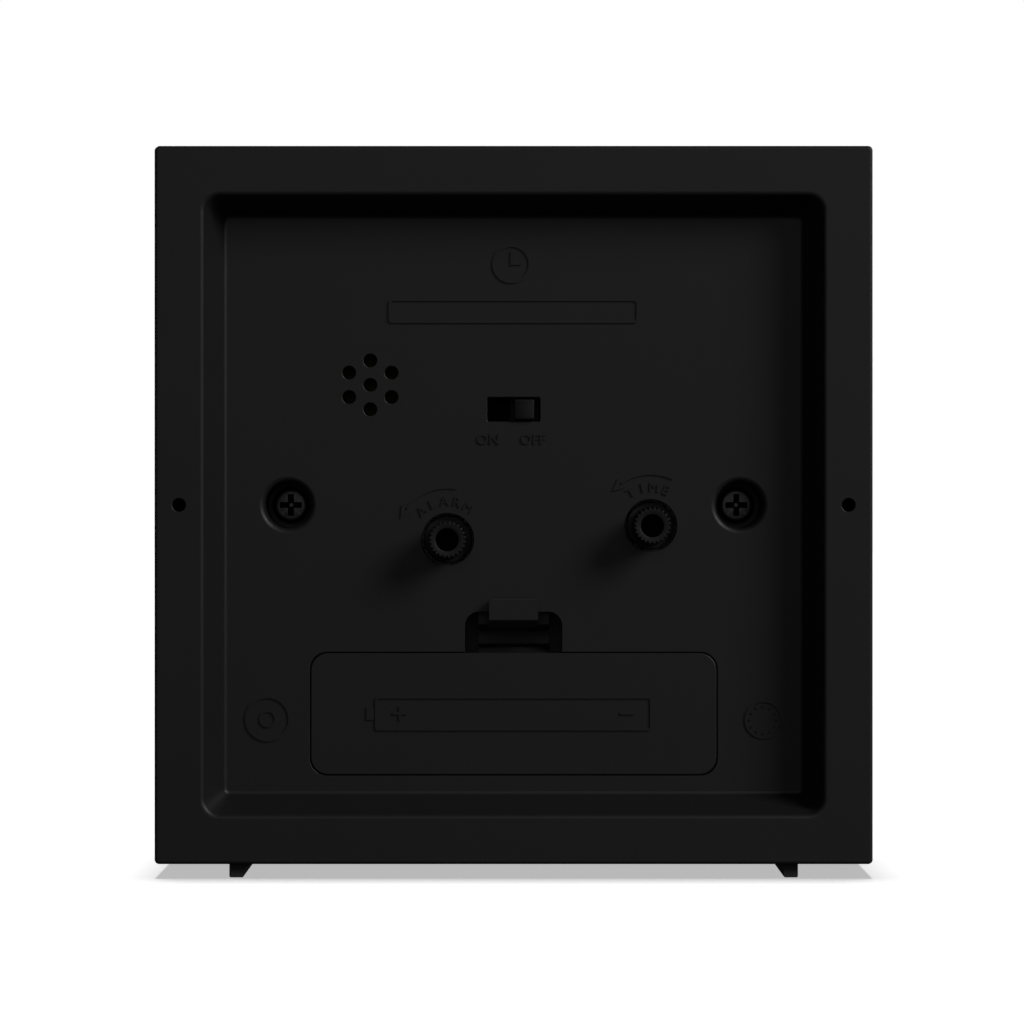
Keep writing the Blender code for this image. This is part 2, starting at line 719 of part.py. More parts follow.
# Chassis plate with two posts for the case screws
gap = RUN_GAP
chassis_hole = rectangle(MOVE_LEFT - gap, MOVE_RIGHT + gap, MOVE_LOW - gap, MOVE_HIGH + gap)
chassis_holes = [chassis_hole]
for sx in (-1, 1):
    for sz in (-1, 1):
        chassis_holes.append(circle(CHASSIS_HOLE_R, 12, (sx * CHASSIS_SCREW_AT, sz * CHASSIS_SCREW_AT)))
chassis = add("chassis_plate", prism(rounded(LENS_HALF, LENS_HALF, 1.0), CHASSIS_Y, CHASSIS_Y + CHASSIS_T,
                                     chassis_holes), black_part)
post_tools = []
for at in ((-SCREW_X, 0.0), (SCREW_X, 0.0)):
    post_low = CHASSIS_Y + CHASSIS_T + 0.3
    post = circle(POST_R, 12, at)
    post_tools.append(stack([(CHASSIS_Y + 0.6, post_low, post, {}),
                             (post_low, POST_TOP_Y, post, {"bore": circle(POST_BORE_R, 12, at)})]))
combine(chassis, post_tools, "UNION")
plain(chassis)

for side_x, word_x in ((-1, "left"), (1, "right")):
    for side_z, word_z in ((-1, "lower"), (1, "upper")):
        shank = circle(CHASSIS_SHANK_R, 12)
        head = circle(CHASSIS_HEAD_R, 12)
        solid = stack([(-CHASSIS_SCREW_L, 0.0, shank, {}), (0.0, CHASSIS_HEAD_T, head, {})])
        place = (side_x * CHASSIS_SCREW_AT, CHASSIS_Y + CHASSIS_T + 0.1, side_z * CHASSIS_SCREW_AT)
        add("chassis_screw_" + word_z + "_" + word_x, solid, steel, place)

# Case screws with a cross recess
arm = CROSS_ARM
slot = CROSS_HALF
cross = [(arm, -slot), (arm, slot), (slot, slot), (slot, arm), (-slot, arm), (-slot, slot),
         (-arm, slot), (-arm, -slot), (-slot, -slot), (-slot, -arm), (slot, -arm), (slot, -slot)]
for side_x, word_x in ((-1, "left"), (1, "right")):
    shank = circle(SCREW_SHANK_R, 12)
    head = circle(SCREW_HEAD_R, ROUND)
    rim = circle(SCREW_HEAD_R - 0.5, ROUND)
    solid = stack([
        (-SCREW_SHANK_L, 0.0, shank, {}),
        (0.0, SCREW_RECESS_Y, head, {}),
        (SCREW_RECESS_Y, SCREW_DOME_Y, head, {"cross": cross}),
        (SCREW_DOME_Y, SCREW_HEAD_T, (head, rim), {"cross": cross}),
    ])
    add("case_screw_" + word_x, solid, screw_steel, (side_x * SCREW_X, BORE_FLOOR_Y + 0.1, 0.0))

# Feet: a thin rail with a gusset that thickens toward the case
for side_x, word_x in ((-1, "left"), (1, "right")):
    out = side_x * FOOT_OUT_X
    low = -CASE_HALF - FOOT_H
    high = -CASE_HALF - FOOT_GAP
    profile = [(out, low), (out - side_x * FOOT_WEB, low)]
    flare = FOOT_TOP_W - FOOT_WEB
    for k in range(1, 4):
        turn = 0.5 * math.pi * k / 4
        profile.append((out - side_x * (FOOT_WEB + flare * (1.0 - math.cos(turn))),
                        low + 0.5 + (high - low - 0.5) * math.sin(turn)))
    profile.append((out - side_x * FOOT_TOP_W, high))
    profile.append((out, high))
    add("foot_" + word_x, prism(profile, FOOT_FRONT_Y, FOOT_REAR_Y), black_shell)

# Switch: slider with its cap, body with a channel for the slider
cap = SLIDER / 2
cap_in = cap - SLIDER_EDGE
cap_top = rectangle(-cap_in, cap_in, -cap_in, cap_in)
cap_side = rectangle(-cap, cap, -cap, cap)
slider = stack([
    (SLIDE_PLATE_Y, SLIDE_PLATE_Y + SLIDE_PLATE_T,
     rectangle(-SLIDE_PLATE_HALF, SLIDE_PLATE_HALF, -SLIDE_PLATE_RISE, SLIDE_PLATE_RISE), {}),
    (SLIDE_PLATE_Y + SLIDE_PLATE_T, SLIDER_Y - SLIDER_TIP_T, cap_side, {}),
    (SLIDER_Y - SLIDER_TIP_T, SLIDER_Y, (cap_side, cap_top), {}),
])
add("switch_slider", slider, black_part, (SLIDER_OFF_X, 0.0, SWITCH_ZR))
body_block = box(-SWITCH_BODY_HALF, SWITCH_BODY_HALF, SWITCH_BODY_Y, SWITCH_BODY_Y + SWITCH_BODY_T,
                 SWITCH_ZR - SWITCH_BODY_RISE, SWITCH_ZR + SWITCH_BODY_RISE)
channel = box(-CHANNEL_HALF, CHANNEL_HALF, SLIDE_PLATE_Y - 0.3, PANEL_IN_Y,
              SWITCH_ZR - CHANNEL_RISE, SWITCH_ZR + CHANNEL_RISE)
body = add("switch_body", body_block, black_part)
combine(body, [channel], "DIFFERENCE")
plain(body)

# Sounder: brass disc with a ceramic disc on its inner side
centre = (GRILLE_X, 0.0, GRILLE_ZR)
add("piezo_disc", disc(PIEZO_R, PIEZO_Y, PIEZO_Y + PIEZO_T), brass, centre)
add("piezo_ceramic", disc(CERAMIC_R, PIEZO_Y - 0.35, PIEZO_Y - 0.1), ceramic, centre)

# Battery door with two lower tabs and the fixed leg of the latch spring
door = add("battery_door", prism(rounded(0.5 * DOOR_W, 0.5 * DOOR_H, DOOR_R, (0.0, BAY_ZR - HINGE_ZR)),
                                 PANEL_Y - DOOR_T - HINGE_Y, PANEL_Y - HINGE_Y), black_shell,
           (0.0, HINGE_Y, HINGE_ZR))
top = BAY_ZR + 0.5 * DOOR_H


def door_box(x0, x1, y0, y1, z0, z1):
    """A block in the door's own space, from places in the case."""
    return box(x0, x1, y0 - HINGE_Y, y1 - HINGE_Y, z0 - HINGE_ZR, z1 - HINGE_ZR)


leg = 0.9
door_tools = [
    door_box(-LATCH_HALF, LATCH_HALF, WELL_FLOOR_Y + 0.5, PANEL_Y - 0.7, top - 0.15, top + 0.75),
    door_box(-LATCH_HALF + 0.1, LATCH_HALF - 0.1, WELL_FLOOR_Y + 0.55, WELL_FLOOR_Y + 0.5 + leg,
             top - 0.1, LATCH_AXIS_ZR - 0.65),
]
for x0, x1 in ((-TAB_OUT_X, -TAB_IN_X), (TAB_IN_X, TAB_OUT_X)):
    door_tools.append(door_box(x0, x1, TAB_INNER_Y, PANEL_Y - 1.0, HINGE_ZR + 0.2, HINGE_ZR + 1.4))
    door_tools.append(door_box(x0 + 0.1, x1 - 0.1, 9.7, 11.2, HINGE_ZR - 0.9, HINGE_ZR + 1.0))
combine(door, door_tools, "UNION")
combine(door, [door_box(-DOOR_RIB_X, DOOR_RIB_X, PANEL_Y - DOOR_T - 1.0, PANEL_Y - DOOR_T + 0.4,
                        BAY_ZR - 6.5, BAY_ZR - 2.0)], "DIFFERENCE")
plain(door)

# Latch: the sprung leg with its hook, and the finger tab in front of the panel
hook_top = NOTCH_TOP_ZR + 0.8 - LATCH_AXIS_ZR
latch_profile = [
    (LATCH_AXIS_Y - 0.7, LEG_HALF_T), (LATCH_AXIS_Y - 0.7, -LEG_HALF_T), (PANEL_IN_Y - 0.4, -LEG_HALF_T),
    (PANEL_IN_Y - 0.4, hook_top), (9.8, hook_top), (8.6, LEG_HALF_T),
]
tab_profile = [
    (9.0, -LEG_HALF_T), (TAB_END_Y, -LEG_HALF_T), (TAB_END_Y, 4.0), (14.3, TAB_RISE), (13.7, TAB_RISE),
    (TAB_BACK_Y, 4.0), (TAB_BACK_Y, 0.7), (13.1, LEG_HALF_T), (9.0, LEG_HALF_T),
]
latch_axis = (LATCH_AXIS_Y, 0.0)
latch = add("battery_door_latch", across(latch_profile, LATCH_HALF, latch_axis), black_shell,
            (0.0, LATCH_AXIS_Y, LATCH_AXIS_ZR))
combine(latch, [across(tab_profile, TAB_HALF, latch_axis)], "UNION")
plain(latch)

# Battery and its contacts
along_x = (0.0, 0.0, -0.5 * math.pi)
cell = stack([
    (0.0, 0.4, (circle(CELL_R - 0.4), circle(CELL_R)), {}),
    (0.4, CELL_BODY_L - 0.6, circle(CELL_R), {}),
    (CELL_BODY_L - 0.6, CELL_BODY_L, (circle(CELL_R), circle(CELL_R - 0.6)), {}),
    (CELL_BODY_L, CELL_BODY_L + CELL_NUB_L, circle(CELL_NUB_R), {}),
])
add("battery_cell", cell, cell_dark, (CELL_LEFT_X, CELL_Y, BAY_ZR), along_x, 30.0)
plate_x = 0.5 * BAY_W - 0.1
low_z, high_z = BAY_ZR - CONTACT_HALF, BAY_ZR + CONTACT_HALF
for word, x0, x1 in (("positive", plate_x - CONTACT_T, plate_x), ("negative", -plate_x, CONTACT_T - plate_x)):
    add("battery_contact_" + word, box(x0, x1, CONTACT_LOW_Y, CONTACT_HIGH_Y, low_z, high_z), steel)
coil = []
for k in range(31):
    share = k / 30
    swing = 2.0 * math.pi * SPRING_TURNS * share
    radius = SPRING_R - SPRING_TAPER * share
    coil.append((-plate_x + 0.7 + SPRING_L * share, CELL_Y + radius * math.cos(swing),
                 BAY_ZR + radius * math.sin(swing)))
wire("battery_spring_negative", coil, SPRING_WIRE_R, steel)

# Knobs: knurled cap on a shaft that carries a pinion
knurl = []
for k in range(KNOB_TEETH):
    for radius, share in ((KNOB_ROOT_R, 0.0), (KNOB_TIP_R, 0.35), (KNOB_TIP_R, 0.65)):
        turn = 2.0 * math.pi * (k + share) / KNOB_TEETH
        knurl.append((radius * math.cos(turn), radius * math.sin(turn)))
small_knurl = [(0.93 * x, 0.93 * z) for x, z in knurl]
flange = circle(KNOB_FLANGE_R, ROUND)
knob_bore = {"bore": circle(KNOB_BORE_R, 16)}
knob = stack([
    (8.2, KNOB_FLANGE_Y, flange, knob_bore),
    (KNOB_FLANGE_Y, KNOB_END_Y - 0.3, knurl, knob_bore),
    (KNOB_END_Y - 0.3, KNOB_END_Y, (knurl, small_knurl), knob_bore),
])
time_at = (TIME_X, TIME_ZR)
alarm_at = (ALARM_X, ALARM_ZR)
add("time_knob", knob, black_part, (TIME_X, 0.0, TIME_ZR))
add("alarm_knob", knob, black_part, (ALARM_X, 0.0, ALARM_ZR))

# Where each wheel sits and how it is turned so that the teeth mesh
axis = (0.0, 0.0)
inter_m = 2.0 * distance(ROTOR_AT, INTER_AT) / (ROTOR_T + INTER_T)
second_m = 2.0 * distance(INTER_AT, axis) / (INTER_P + SECOND_T)
third_m = 2.0 * distance(THIRD_AT, axis) / (SECOND_P + THIRD_T)
centre_m = 2.0 * distance(THIRD_AT, axis) / (THIRD_P + CENTRE_T)
cannon_m = 2.0 * MINUTE_DIST / (CANNON_P + MINUTE_T)
hour_m = 2.0 * MINUTE_DIST / (MINUTE_P + HOUR_T)
alarm_m = 2.0 * distance(alarm_at, axis) / (ALARM_P + ALARM_T)
minute_at = two_circles(axis, MINUTE_DIST, time_at, 0.5 * cannon_m * (TIME_P + MINUTE_T), 1.0)
inter_phase = meshing_phase(ROTOR_T, 0.0, ROTOR_AT, INTER_T, INTER_AT)
second_phase = meshing_phase(INTER_P, 0.0, INTER_AT, SECOND_T, axis)
third_phase = meshing_phase(SECOND_P, 0.0, axis, THIRD_T, THIRD_AT)
centre_phase = meshing_phase(THIRD_P, 0.0, THIRD_AT, CENTRE_T, axis)
minute_phase = meshing_phase(CANNON_P, 0.0, axis, MINUTE_T, minute_at)
hour_phase = meshing_phase(MINUTE_P, 0.0, minute_at, HOUR_T, axis)
time_phase = meshing_phase(MINUTE_T, minute_phase, minute_at, TIME_P, time_at)
alarm_phase = meshing_phase(ALARM_T, 0.0, axis, ALARM_P, alarm_at)

shaft = circle(SHAFT_R, 16)
low = MINUTE_PLANE
time_shaft = stack([
    (low - 1.9, low, shaft, {}),
    (low, low + WHEEL_T, gear(TIME_P, cannon_m, time_phase), {}),
    (low + WHEEL_T, SHAFT_END_Y, shaft, {}),
])
add("time_shaft", time_shaft, black_part, (TIME_X, 0.0, TIME_ZR))
alarm_shaft = stack([
    (ALARM_PLANE, ALARM_PLANE + WHEEL_T, gear(ALARM_P, alarm_m, alarm_phase), {}),
    (ALARM_PLANE + WHEEL_T, SHAFT_END_Y, shaft, {}),
])
add("alarm_shaft", alarm_shaft, black_part, (ALARM_X, 0.0, ALARM_ZR))


def wheel_on_tube(name, plane, outline, tube, front, rear, material):
    """A wheel fixed on a tube that reaches forward to the hands."""
    bore = {"bore": circle(tube[0], 16)}
    out = circle(tube[1], 16)
    layers = [(front, plane, out, bore), (plane, plane + WHEEL_T, outline, bore)]
    if rear > plane + WHEEL_T:
        layers.append((plane + WHEEL_T, rear, out, bore))
    add(name, stack(layers), material)


wheel_on_tube("alarm_wheel", ALARM_PLANE, gear(ALARM_T, alarm_m, 0.0), ALARM_TUBE,
              ALARM_HAND_Y - 0.1, ALARM_PLANE + WHEEL_T, white_plastic)
wheel_on_tube("hour_wheel", HOUR_PLANE, gear(HOUR_T, hour_m, hour_phase), HOUR_TUBE,
              HOUR_HAND_Y - 0.1, HOUR_PLANE + WHEEL_T, white_plastic)
wheel_on_tube("minute_tube", MINUTE_PLANE, gear(CANNON_P, cannon_m, 0.0), MINUTE_TUBE,
              MINUTE_HAND_Y - 0.1, CENTRE_PLANE + WHEEL_T, brass)
centre_bore = {"bore": circle(MINUTE_TUBE[1] + 0.05, 16)}
add("centre_wheel", stack([(CENTRE_PLANE, CENTRE_PLANE + WHEEL_T,
                            gear(CENTRE_T, centre_m, centre_phase), centre_bore)]), white_plastic)
arbor = circle(ARBOR_R, 8)
cover_y = COVER_IN_Y + COVER_T - 0.3
middle_low = MIDDLE_PLATE_Y + 0.1
second = stack([
    (SECOND_HAND_Y - 0.1, THIRD_PLANE, arbor, {}),
    (THIRD_PLANE, THIRD_PLANE + WHEEL_T, gear(SECOND_P, third_m, 0.0), {}),
    (THIRD_PLANE + WHEEL_T, SECOND_PLANE, arbor, {}),
    (SECOND_PLANE, SECOND_PLANE + WHEEL_T, gear(SECOND_T, second_m, second_phase), {}),
    (SECOND_PLANE + WHEEL_T, cover_y, arbor, {}),
])
add("second_wheel", second, white_plastic)
third = stack([
    (middle_low, CENTRE_PLANE, arbor, {}),
    (CENTRE_PLANE, CENTRE_PLANE + WHEEL_T, gear(THIRD_P, centre_m, 0.0), {}),
    (CENTRE_PLANE + WHEEL_T, THIRD_PLANE, arbor, {}),
    (THIRD_PLANE, THIRD_PLANE + WHEEL_T, gear(THIRD_T, third_m, third_phase), {}),
    (THIRD_PLANE + WHEEL_T, cover_y, arbor, {}),
])
add("third_wheel", third, white_plastic, (THIRD_AT[0], 0.0, THIRD_AT[1]))
inter_bore = {"bore": circle(0.65, 8)}
inter = stack([
    (SECOND_PLANE, SECOND_PLANE + WHEEL_T, gear(INTER_P, second_m, 0.0), inter_bore),
    (SECOND_PLANE + WHEEL_T, INTER_PLANE, circle(0.8, 8), inter_bore),
    (INTER_PLANE, INTER_PLANE + WHEEL_T, gear(INTER_T, inter_m, inter_phase), inter_bore),
])
add("intermediate_wheel", inter, white_plastic, (INTER_AT[0], 0.0, INTER_AT[1]))
minute_bore = {"bore": circle(0.85, 12)}
minute = stack([
    (HOUR_PLANE, HOUR_PLANE + WHEEL_T, gear(MINUTE_P, hour_m, 0.0), minute_bore),
    (HOUR_PLANE + WHEEL_T, MINUTE_PLANE, circle(1.3, 12), minute_bore),
    (MINUTE_PLANE, MINUTE_PLANE + WHEEL_T, gear(MINUTE_T, cannon_m, minute_phase), minute_bore),
])
add("minute_wheel", minute, white_plastic, (minute_at[0], 0.0, minute_at[1]))
rotor = stack([
    (middle_low, INTER_PLANE, arbor, {}),
    (INTER_PLANE, INTER_PLANE + WHEEL_T, gear(ROTOR_T, inter_m, 0.0), {}),
    (INTER_PLANE + WHEEL_T, cover_y, arbor, {}),
])
rotor_place = (ROTOR_AT[0], 0.0, ROTOR_AT[1])
add("rotor_pinion", rotor, white_plastic, rotor_place)
add("rotor_magnet", prism(circle(2.0, 16), STATOR_Y - 0.1, STATOR_Y + STATOR_T + 0.1,
                          [circle(ARBOR_R + 0.05, 8)]), magnet_grey, rotor_place)

# Movement base with its bushing, posts for the middle plate and stud for the minute wheel
posts_at = ((12.4, 11.2), (-13.2, 11.4), (-3.5, -9.7))
base = add("movement_base", prism(rectangle(MOVE_LEFT, MOVE_RIGHT, MOVE_LOW, MOVE_HIGH), BASE_Y, BASE_IN_Y,
                                  [circle(BUSHING_BORE)]), white_plastic)
base_tools = [prism(circle(BUSHING_R), BUSHING_END, BASE_Y + 0.5, [circle(BUSHING_BORE)])]
base_tools += [disc(0.9, BASE_IN_Y - 0.5, MIDDLE_PLATE_Y - 0.1, at, 10) for at in posts_at]
base_tools.append(disc(0.6, BASE_IN_Y - 0.5, MIDDLE_PLATE_Y - 0.2, minute_at, 8))
combine(base, base_tools, "UNION")
plain(base)
shaft_hole = circle(SHAFT_R + PIVOT_GAP, 16)
pivot_hole = circle(ARBOR_R + PIVOT_GAP, 8)
middle = prism(rectangle(-14.6, 14.0, -10.8, 12.6), MIDDLE_PLATE_Y, MIDDLE_PLATE_Y + WHEEL_T, [
    circle(MINUTE_TUBE[1] + RUN_GAP, 16), shifted(shaft_hole, alarm_at),
    shifted(pivot_hole, THIRD_AT), shifted(pivot_hole, ROTOR_AT)])
add("middle_plate", middle, white_plastic)

# Movement cover: a tub open to the front
cover_out = rectangle(MOVE_LEFT, MOVE_RIGHT, MOVE_LOW, MOVE_HIGH)
cover_in = rectangle(MOVE_LEFT + MOVE_WALL, MOVE_RIGHT - MOVE_WALL,
                     MOVE_LOW + MOVE_WALL, MOVE_HIGH - MOVE_WALL)
cover_holes = {
    "time": shifted(shaft_hole, time_at), "alarm": shifted(shaft_hole, alarm_at), "second": pivot_hole,
    "third": shifted(pivot_hole, THIRD_AT), "rotor": shifted(pivot_hole, ROTOR_AT),
}
top_face = prism(cover_out, COVER_IN_Y, COVER_IN_Y + COVER_T, list(cover_holes.values()))
cover = add("movement_cover", top_face, white_plastic)
combine(cover, [
    prism(cover_out, BASE_IN_Y + 0.2, COVER_IN_Y + 0.4, [cover_in]),
    disc(0.5, SECOND_PLANE, COVER_IN_Y + 0.4, INTER_AT, 8),
], "UNION")
combine(cover, [
    box(MOVE_RIGHT - 2.0, MOVE_RIGHT + 1.0, BASE_IN_Y - 1.0, -3.5, 13.0, 18.6),
    box(MOVE_LEFT - 1.0, MOVE_LEFT + 2.0, BASE_IN_Y - 1.0, -3.5, 14.0, 17.0),
], "DIFFERENCE")
plain(cover)
hexagon = circle(5.6, 6)
add("dial_nut", prism(hexagon, BUSHING_END + 0.1, DIAL_Y - 0.1, [circle(BUSHING_R + 0.05)]), brass)

# Motor: stator with its rotor hole, core, bobbin and winding; circuit board with chip and crystal
coil_z = 15.5
core_y = STATOR_Y + STATOR_T + 0.2
stator_outline = [(-23.0, 6.4), (-5.2, 6.4), (-5.2, 16.2), (-7.4, 16.2), (-7.4, 12.6), (-20.8, 12.6),
                  (-20.8, 16.2), (-23.0, 16.2)]
add("stator", prism(stator_outline, STATOR_Y, STATOR_Y + STATOR_T, [circle(2.4, 16, ROTOR_AT)]), steel)
add("coil_core", box(-22.8, -5.4, core_y, core_y + 0.8, coil_z - 0.9, coil_z + 0.9), steel)
winding_y = core_y + 0.4
along = (0.0, 0.0, -0.5 * math.pi)
spool_bore = {"bore": circle(1.1, 12)}
spool = stack([(0.0, 0.6, circle(2.3, 16), spool_bore), (0.6, 11.4, circle(1.35, 12), spool_bore),
               (11.4, 12.0, circle(2.3, 16), spool_bore)])
add("coil_bobbin", spool, black_part, (-20.1, winding_y, coil_z), along)
add("coil_winding", stack([(0.7, 11.3, circle(2.1, 16), {"bore": circle(1.45, 12)})]), copper,
    (-20.1, winding_y, coil_z), along)
board_y = BASE_IN_Y + 0.6
add("circuit_board", box(-24.2, 18.8, board_y, board_y + 0.8, 13.2, 18.9), board_green)
add("ic_chip", box(-3.0, 3.0, board_y + 0.9, board_y + 2.1, 14.0, 18.0), chip_black)
add("quartz_crystal", disc(0.95, 0.0, 6.0, count=12), steel, (5.5, board_y + 1.95, 16.2), along)

# Hands
for name, shape, bore_r, angle, front, coat in (
    ("alarm_hand", ALARM_SHAPE, ALARM_TUBE[1] + 0.05, ALARM_ANGLE, ALARM_HAND_Y, hand_gold),
    ("hour_hand", HOUR_SHAPE, HOUR_TUBE[1] + 0.05, HOUR_ANGLE, HOUR_HAND_Y, hand_black),
    ("minute_hand", MINUTE_SHAPE, MINUTE_TUBE[1] + 0.05, MINUTE_ANGLE, MINUTE_HAND_Y, hand_black),
    ("second_hand", SECOND_SHAPE, ARBOR_R + 0.04, SECOND_ANGLE, SECOND_HAND_Y, hand_red),
):
    hub_r, root_w, tip_w, length, tail = shape
    add(name, hand(hub_r, bore_r, root_w, tip_w, length, tail, angle, front), coat)

# Wires to the sounder and the battery contacts
wire_r = 0.4
entry_y = board_y + 0.8 + 0.6
wire("sounder_wire_red", smooth_path([(GRILLE_X + 4.0, PIEZO_Y - 0.9, 15.0), (22.6, 4.0, 14.6),
                                      (22.6, entry_y, 14.6), (15.0, entry_y, 14.6)], 1.6), wire_r, red_cover)
wire("sounder_wire_black", smooth_path([(GRILLE_X + 4.0, PIEZO_Y - 0.9, 18.0), (24.2, 4.0, 16.8),
                                        (24.2, entry_y, 16.8), (15.0, entry_y, 16.8)], 1.6), wire_r,
     black_cover)
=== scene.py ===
import json
import math

import bpy
import bmesh
from mathutils import Matrix, Vector
from mathutils.geometry import tessellate_polygon


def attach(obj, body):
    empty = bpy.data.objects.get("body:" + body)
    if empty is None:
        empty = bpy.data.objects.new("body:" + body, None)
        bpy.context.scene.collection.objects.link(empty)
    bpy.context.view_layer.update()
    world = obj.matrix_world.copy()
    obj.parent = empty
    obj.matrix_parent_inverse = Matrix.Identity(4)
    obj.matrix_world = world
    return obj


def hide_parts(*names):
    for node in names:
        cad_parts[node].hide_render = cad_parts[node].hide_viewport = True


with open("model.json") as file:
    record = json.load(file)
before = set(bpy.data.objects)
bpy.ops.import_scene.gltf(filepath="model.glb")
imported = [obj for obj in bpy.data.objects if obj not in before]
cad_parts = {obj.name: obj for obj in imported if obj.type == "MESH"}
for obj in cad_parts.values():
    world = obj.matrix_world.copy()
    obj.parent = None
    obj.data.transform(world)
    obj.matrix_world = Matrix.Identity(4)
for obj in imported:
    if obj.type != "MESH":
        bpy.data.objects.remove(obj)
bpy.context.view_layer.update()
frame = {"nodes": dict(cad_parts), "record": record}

MM = 0.001
MID_Z = 52.0
FRONT_Y, REAR_Y, PANEL_Y, PANEL_IN_Y, PARTING_Y = -20.0, 20.0, 13.0, 11.0, -6.0
SCREW_X = 31.8
TIME_AT = (-19.3, -2.9)
ALARM_AT = (9.3, -4.85)
GRILLE_AT = (20.2, 16.9)
SWITCH_ZR = 13.45
BAY_ZR = -29.4
DOOR_W, DOOR_H, DOOR_R = 57.1, 17.1, 2.4
NOTCH_TOP = -15.0
NOTCH_HALF = 6.85
CASE_HALF = 50.0
WALL_IN = 48.0
PARTING_GAP = 0.2
MOUTH_EDGE = 0.12
HOLE_END_Y = 10.0


# ---------------------------------------------------------------- outlines and solids, in millimetres
def circle(radius, count=48, at=(0.0, 0.0)):
    step = 2.0 * math.pi / count
    return [(at[0] + radius * math.cos(k * step), at[1] + radius * math.sin(k * step)) for k in range(count)]


def rounded(half_x, half_z, radius, at=(0.0, 0.0), steps=8):
    points = []
    radius = max(radius, 0.02)
    for sign_x, sign_z, start in ((1, 1, 0.0), (-1, 1, 90.0), (-1, -1, 180.0), (1, -1, 270.0)):
        for k in range(steps + 1):
            turn = math.radians(start + 90.0 * k / steps)
            points.append((at[0] + sign_x * (half_x - radius) + radius * math.cos(turn),
                           at[1] + sign_z * (half_z - radius) + radius * math.sin(turn)))
    return points


def rectangle(x0, x1, z0, z1):
    return [(x0, z0), (x1, z0), (x1, z1), (x0, z1)]


def fillet(before, here, after, radius, steps=6):
    """Points of an arc that rounds the corner `here` between two straight runs."""
    corner = Vector(here)
    one = (Vector(before) - corner).normalized()
    two = (Vector(after) - corner).normalized()
    half = 0.5 * one.angle(two)
    reach = radius / math.tan(half)
    centre = corner + (one + two).normalized() * (radius / math.sin(half))
    start = corner + one * reach - centre
    end = corner + two * reach - centre
    whole = start.angle(end)
    points = []
    for k in range(steps + 1):
        share = k / steps
        part = (start * math.sin((1 - share) * whole) + end * math.sin(share * whole)) / math.sin(whole)
        points.append(tuple(centre + part))
    return points


def soft_path(corners, closed=False):
    """A polyline whose corners (x, y, radius) are rounded."""
    points = []
    count = len(corners)
    for k, (x, y, radius) in enumerate(corners):
        if radius <= 0.0 or (not closed and k in (0, count - 1)):
            points.append((x, y))
            continue
        before, after = corners[k - 1][:2], corners[(k + 1) % count][:2]
        points += fillet(before, (x, y), after, radius)
    return points


def loft(loops, ends=True):
    """Solid through (outline, y) loops of equal length; filled at both ends, or joined into a ring."""
    verts, faces, rings = [], [], []
    for outline, y in loops:
        start = len(verts)
        verts.extend((x, y, z) for x, z in outline)
        rings.append(list(range(start, start + len(outline))))
    pairs = list(zip(rings, rings[1:]))
    if not ends:
        pairs.append((rings[-1], rings[0]))
    for low, high in pairs:
        for k in range(len(low)):
            after = (k + 1) % len(low)
            faces.append([low[k], low[after], high[after], high[k]])
    if ends:
        faces.append(rings[0][::-1])
        faces.append(rings[-1])
    return verts, faces


def prism(outline, y0, y1, holes=()):
    if not holes:
        return loft([(outline, y0), (outline, y1)])
    verts, faces, groups = [], [], []
    for loop in (outline, *holes):
        count, start = len(loop), len(verts)
        verts.extend((x, y0, z) for x, z in loop)
        verts.extend((x, y1, z) for x, z in loop)
        groups.append((start, start + count, count))
        for k in range(count):
            after = (k + 1) % count
            faces.append([start + k, start + after, start + count + after, start + count + k])
    flat = [[Vector((x, z, 0.0)) for x, z in loop] for loop in (outline, *holes)]
    for which in (0, 1):
        order = [group[which] + k for group in groups for k in range(group[2])]
        faces += [[order[k] for k in tri] for tri in tessellate_polygon(flat)]
    return verts, faces


def turned(profile, count=48, at=(0.0, 0.0)):
    """Closed solid from a (radius, y) profile that ends on the axis or returns to its start."""
    verts, faces, rings = [], [], []
    for radius, y in profile:
        start = len(verts)
        if radius < 1e-6:
            verts.append((at[0], y, at[1]))
            rings.append([start])
        else:
            verts.extend((x, y, z) for x, z in circle(radius, count, at))
            rings.append(list(range(start, start + count)))
    pairs = list(zip(rings, rings[1:]))
    if len(rings[0]) > 1:
        pairs.append((rings[-1], rings[0]))
    for low, high in pairs:
        for k in range(count):
            after = (k + 1) % count
            if len(low) == 1 and len(high) == 1:
                continue
            if len(low) == 1:
                faces.append([low[0], high[after], high[k]])
            elif len(high) == 1:
                faces.append([low[k], low[after], high[0]])
            else:
                faces.append([low[k], low[after], high[after], high[k]])
    return verts, faces


def across(profile, half):
    """Solid whose (y, z) outline runs along X from -half to half."""
    verts, faces = loft([(profile, -half), (profile, half)])
    return [(x, y, z) for y, x, z in verts], faces


def box(x0, x1, y0, y1, z0, z1):
    return prism(rectangle(x0, x1, z0, z1), y0, y1)


def plug(radius, y0, y1, count, at):
    """Plain round solid from y0 to y1."""
    return turned([(0.0, y0), (radius, y0), (radius, y1), (0.0, y1)], count, at)


def mouth(outline, y_top, depth_y, edge, steps=5):
    """Cutter for a hole whose edge is rounded; outline(grow) gives the outline grown by that much."""
    loops = [(outline(0.0), depth_y), (outline(0.0), y_top - edge)]
    for k in range(1, steps + 1):
        turn = math.radians(84.0) * k / steps
        loops.append((outline(edge * (1.0 - math.cos(turn))), y_top - edge + edge * math.sin(turn)))
    loops.append((loops[-1][0], y_top + 1.0))
    return loft(loops)


def mesh_of(name, solids):
    """Mesh of solids, still in millimetres about the middle of the case."""
    work = bmesh.new()
    for verts, faces in solids:
        made = [work.verts.new(v) for v in verts]
        for face in faces:
            work.faces.new([made[k] for k in face])
    bmesh.ops.recalc_face_normals(work, faces=work.faces)
    mesh = bpy.data.meshes.new(name)
    work.to_mesh(mesh)
    work.free()
    return mesh


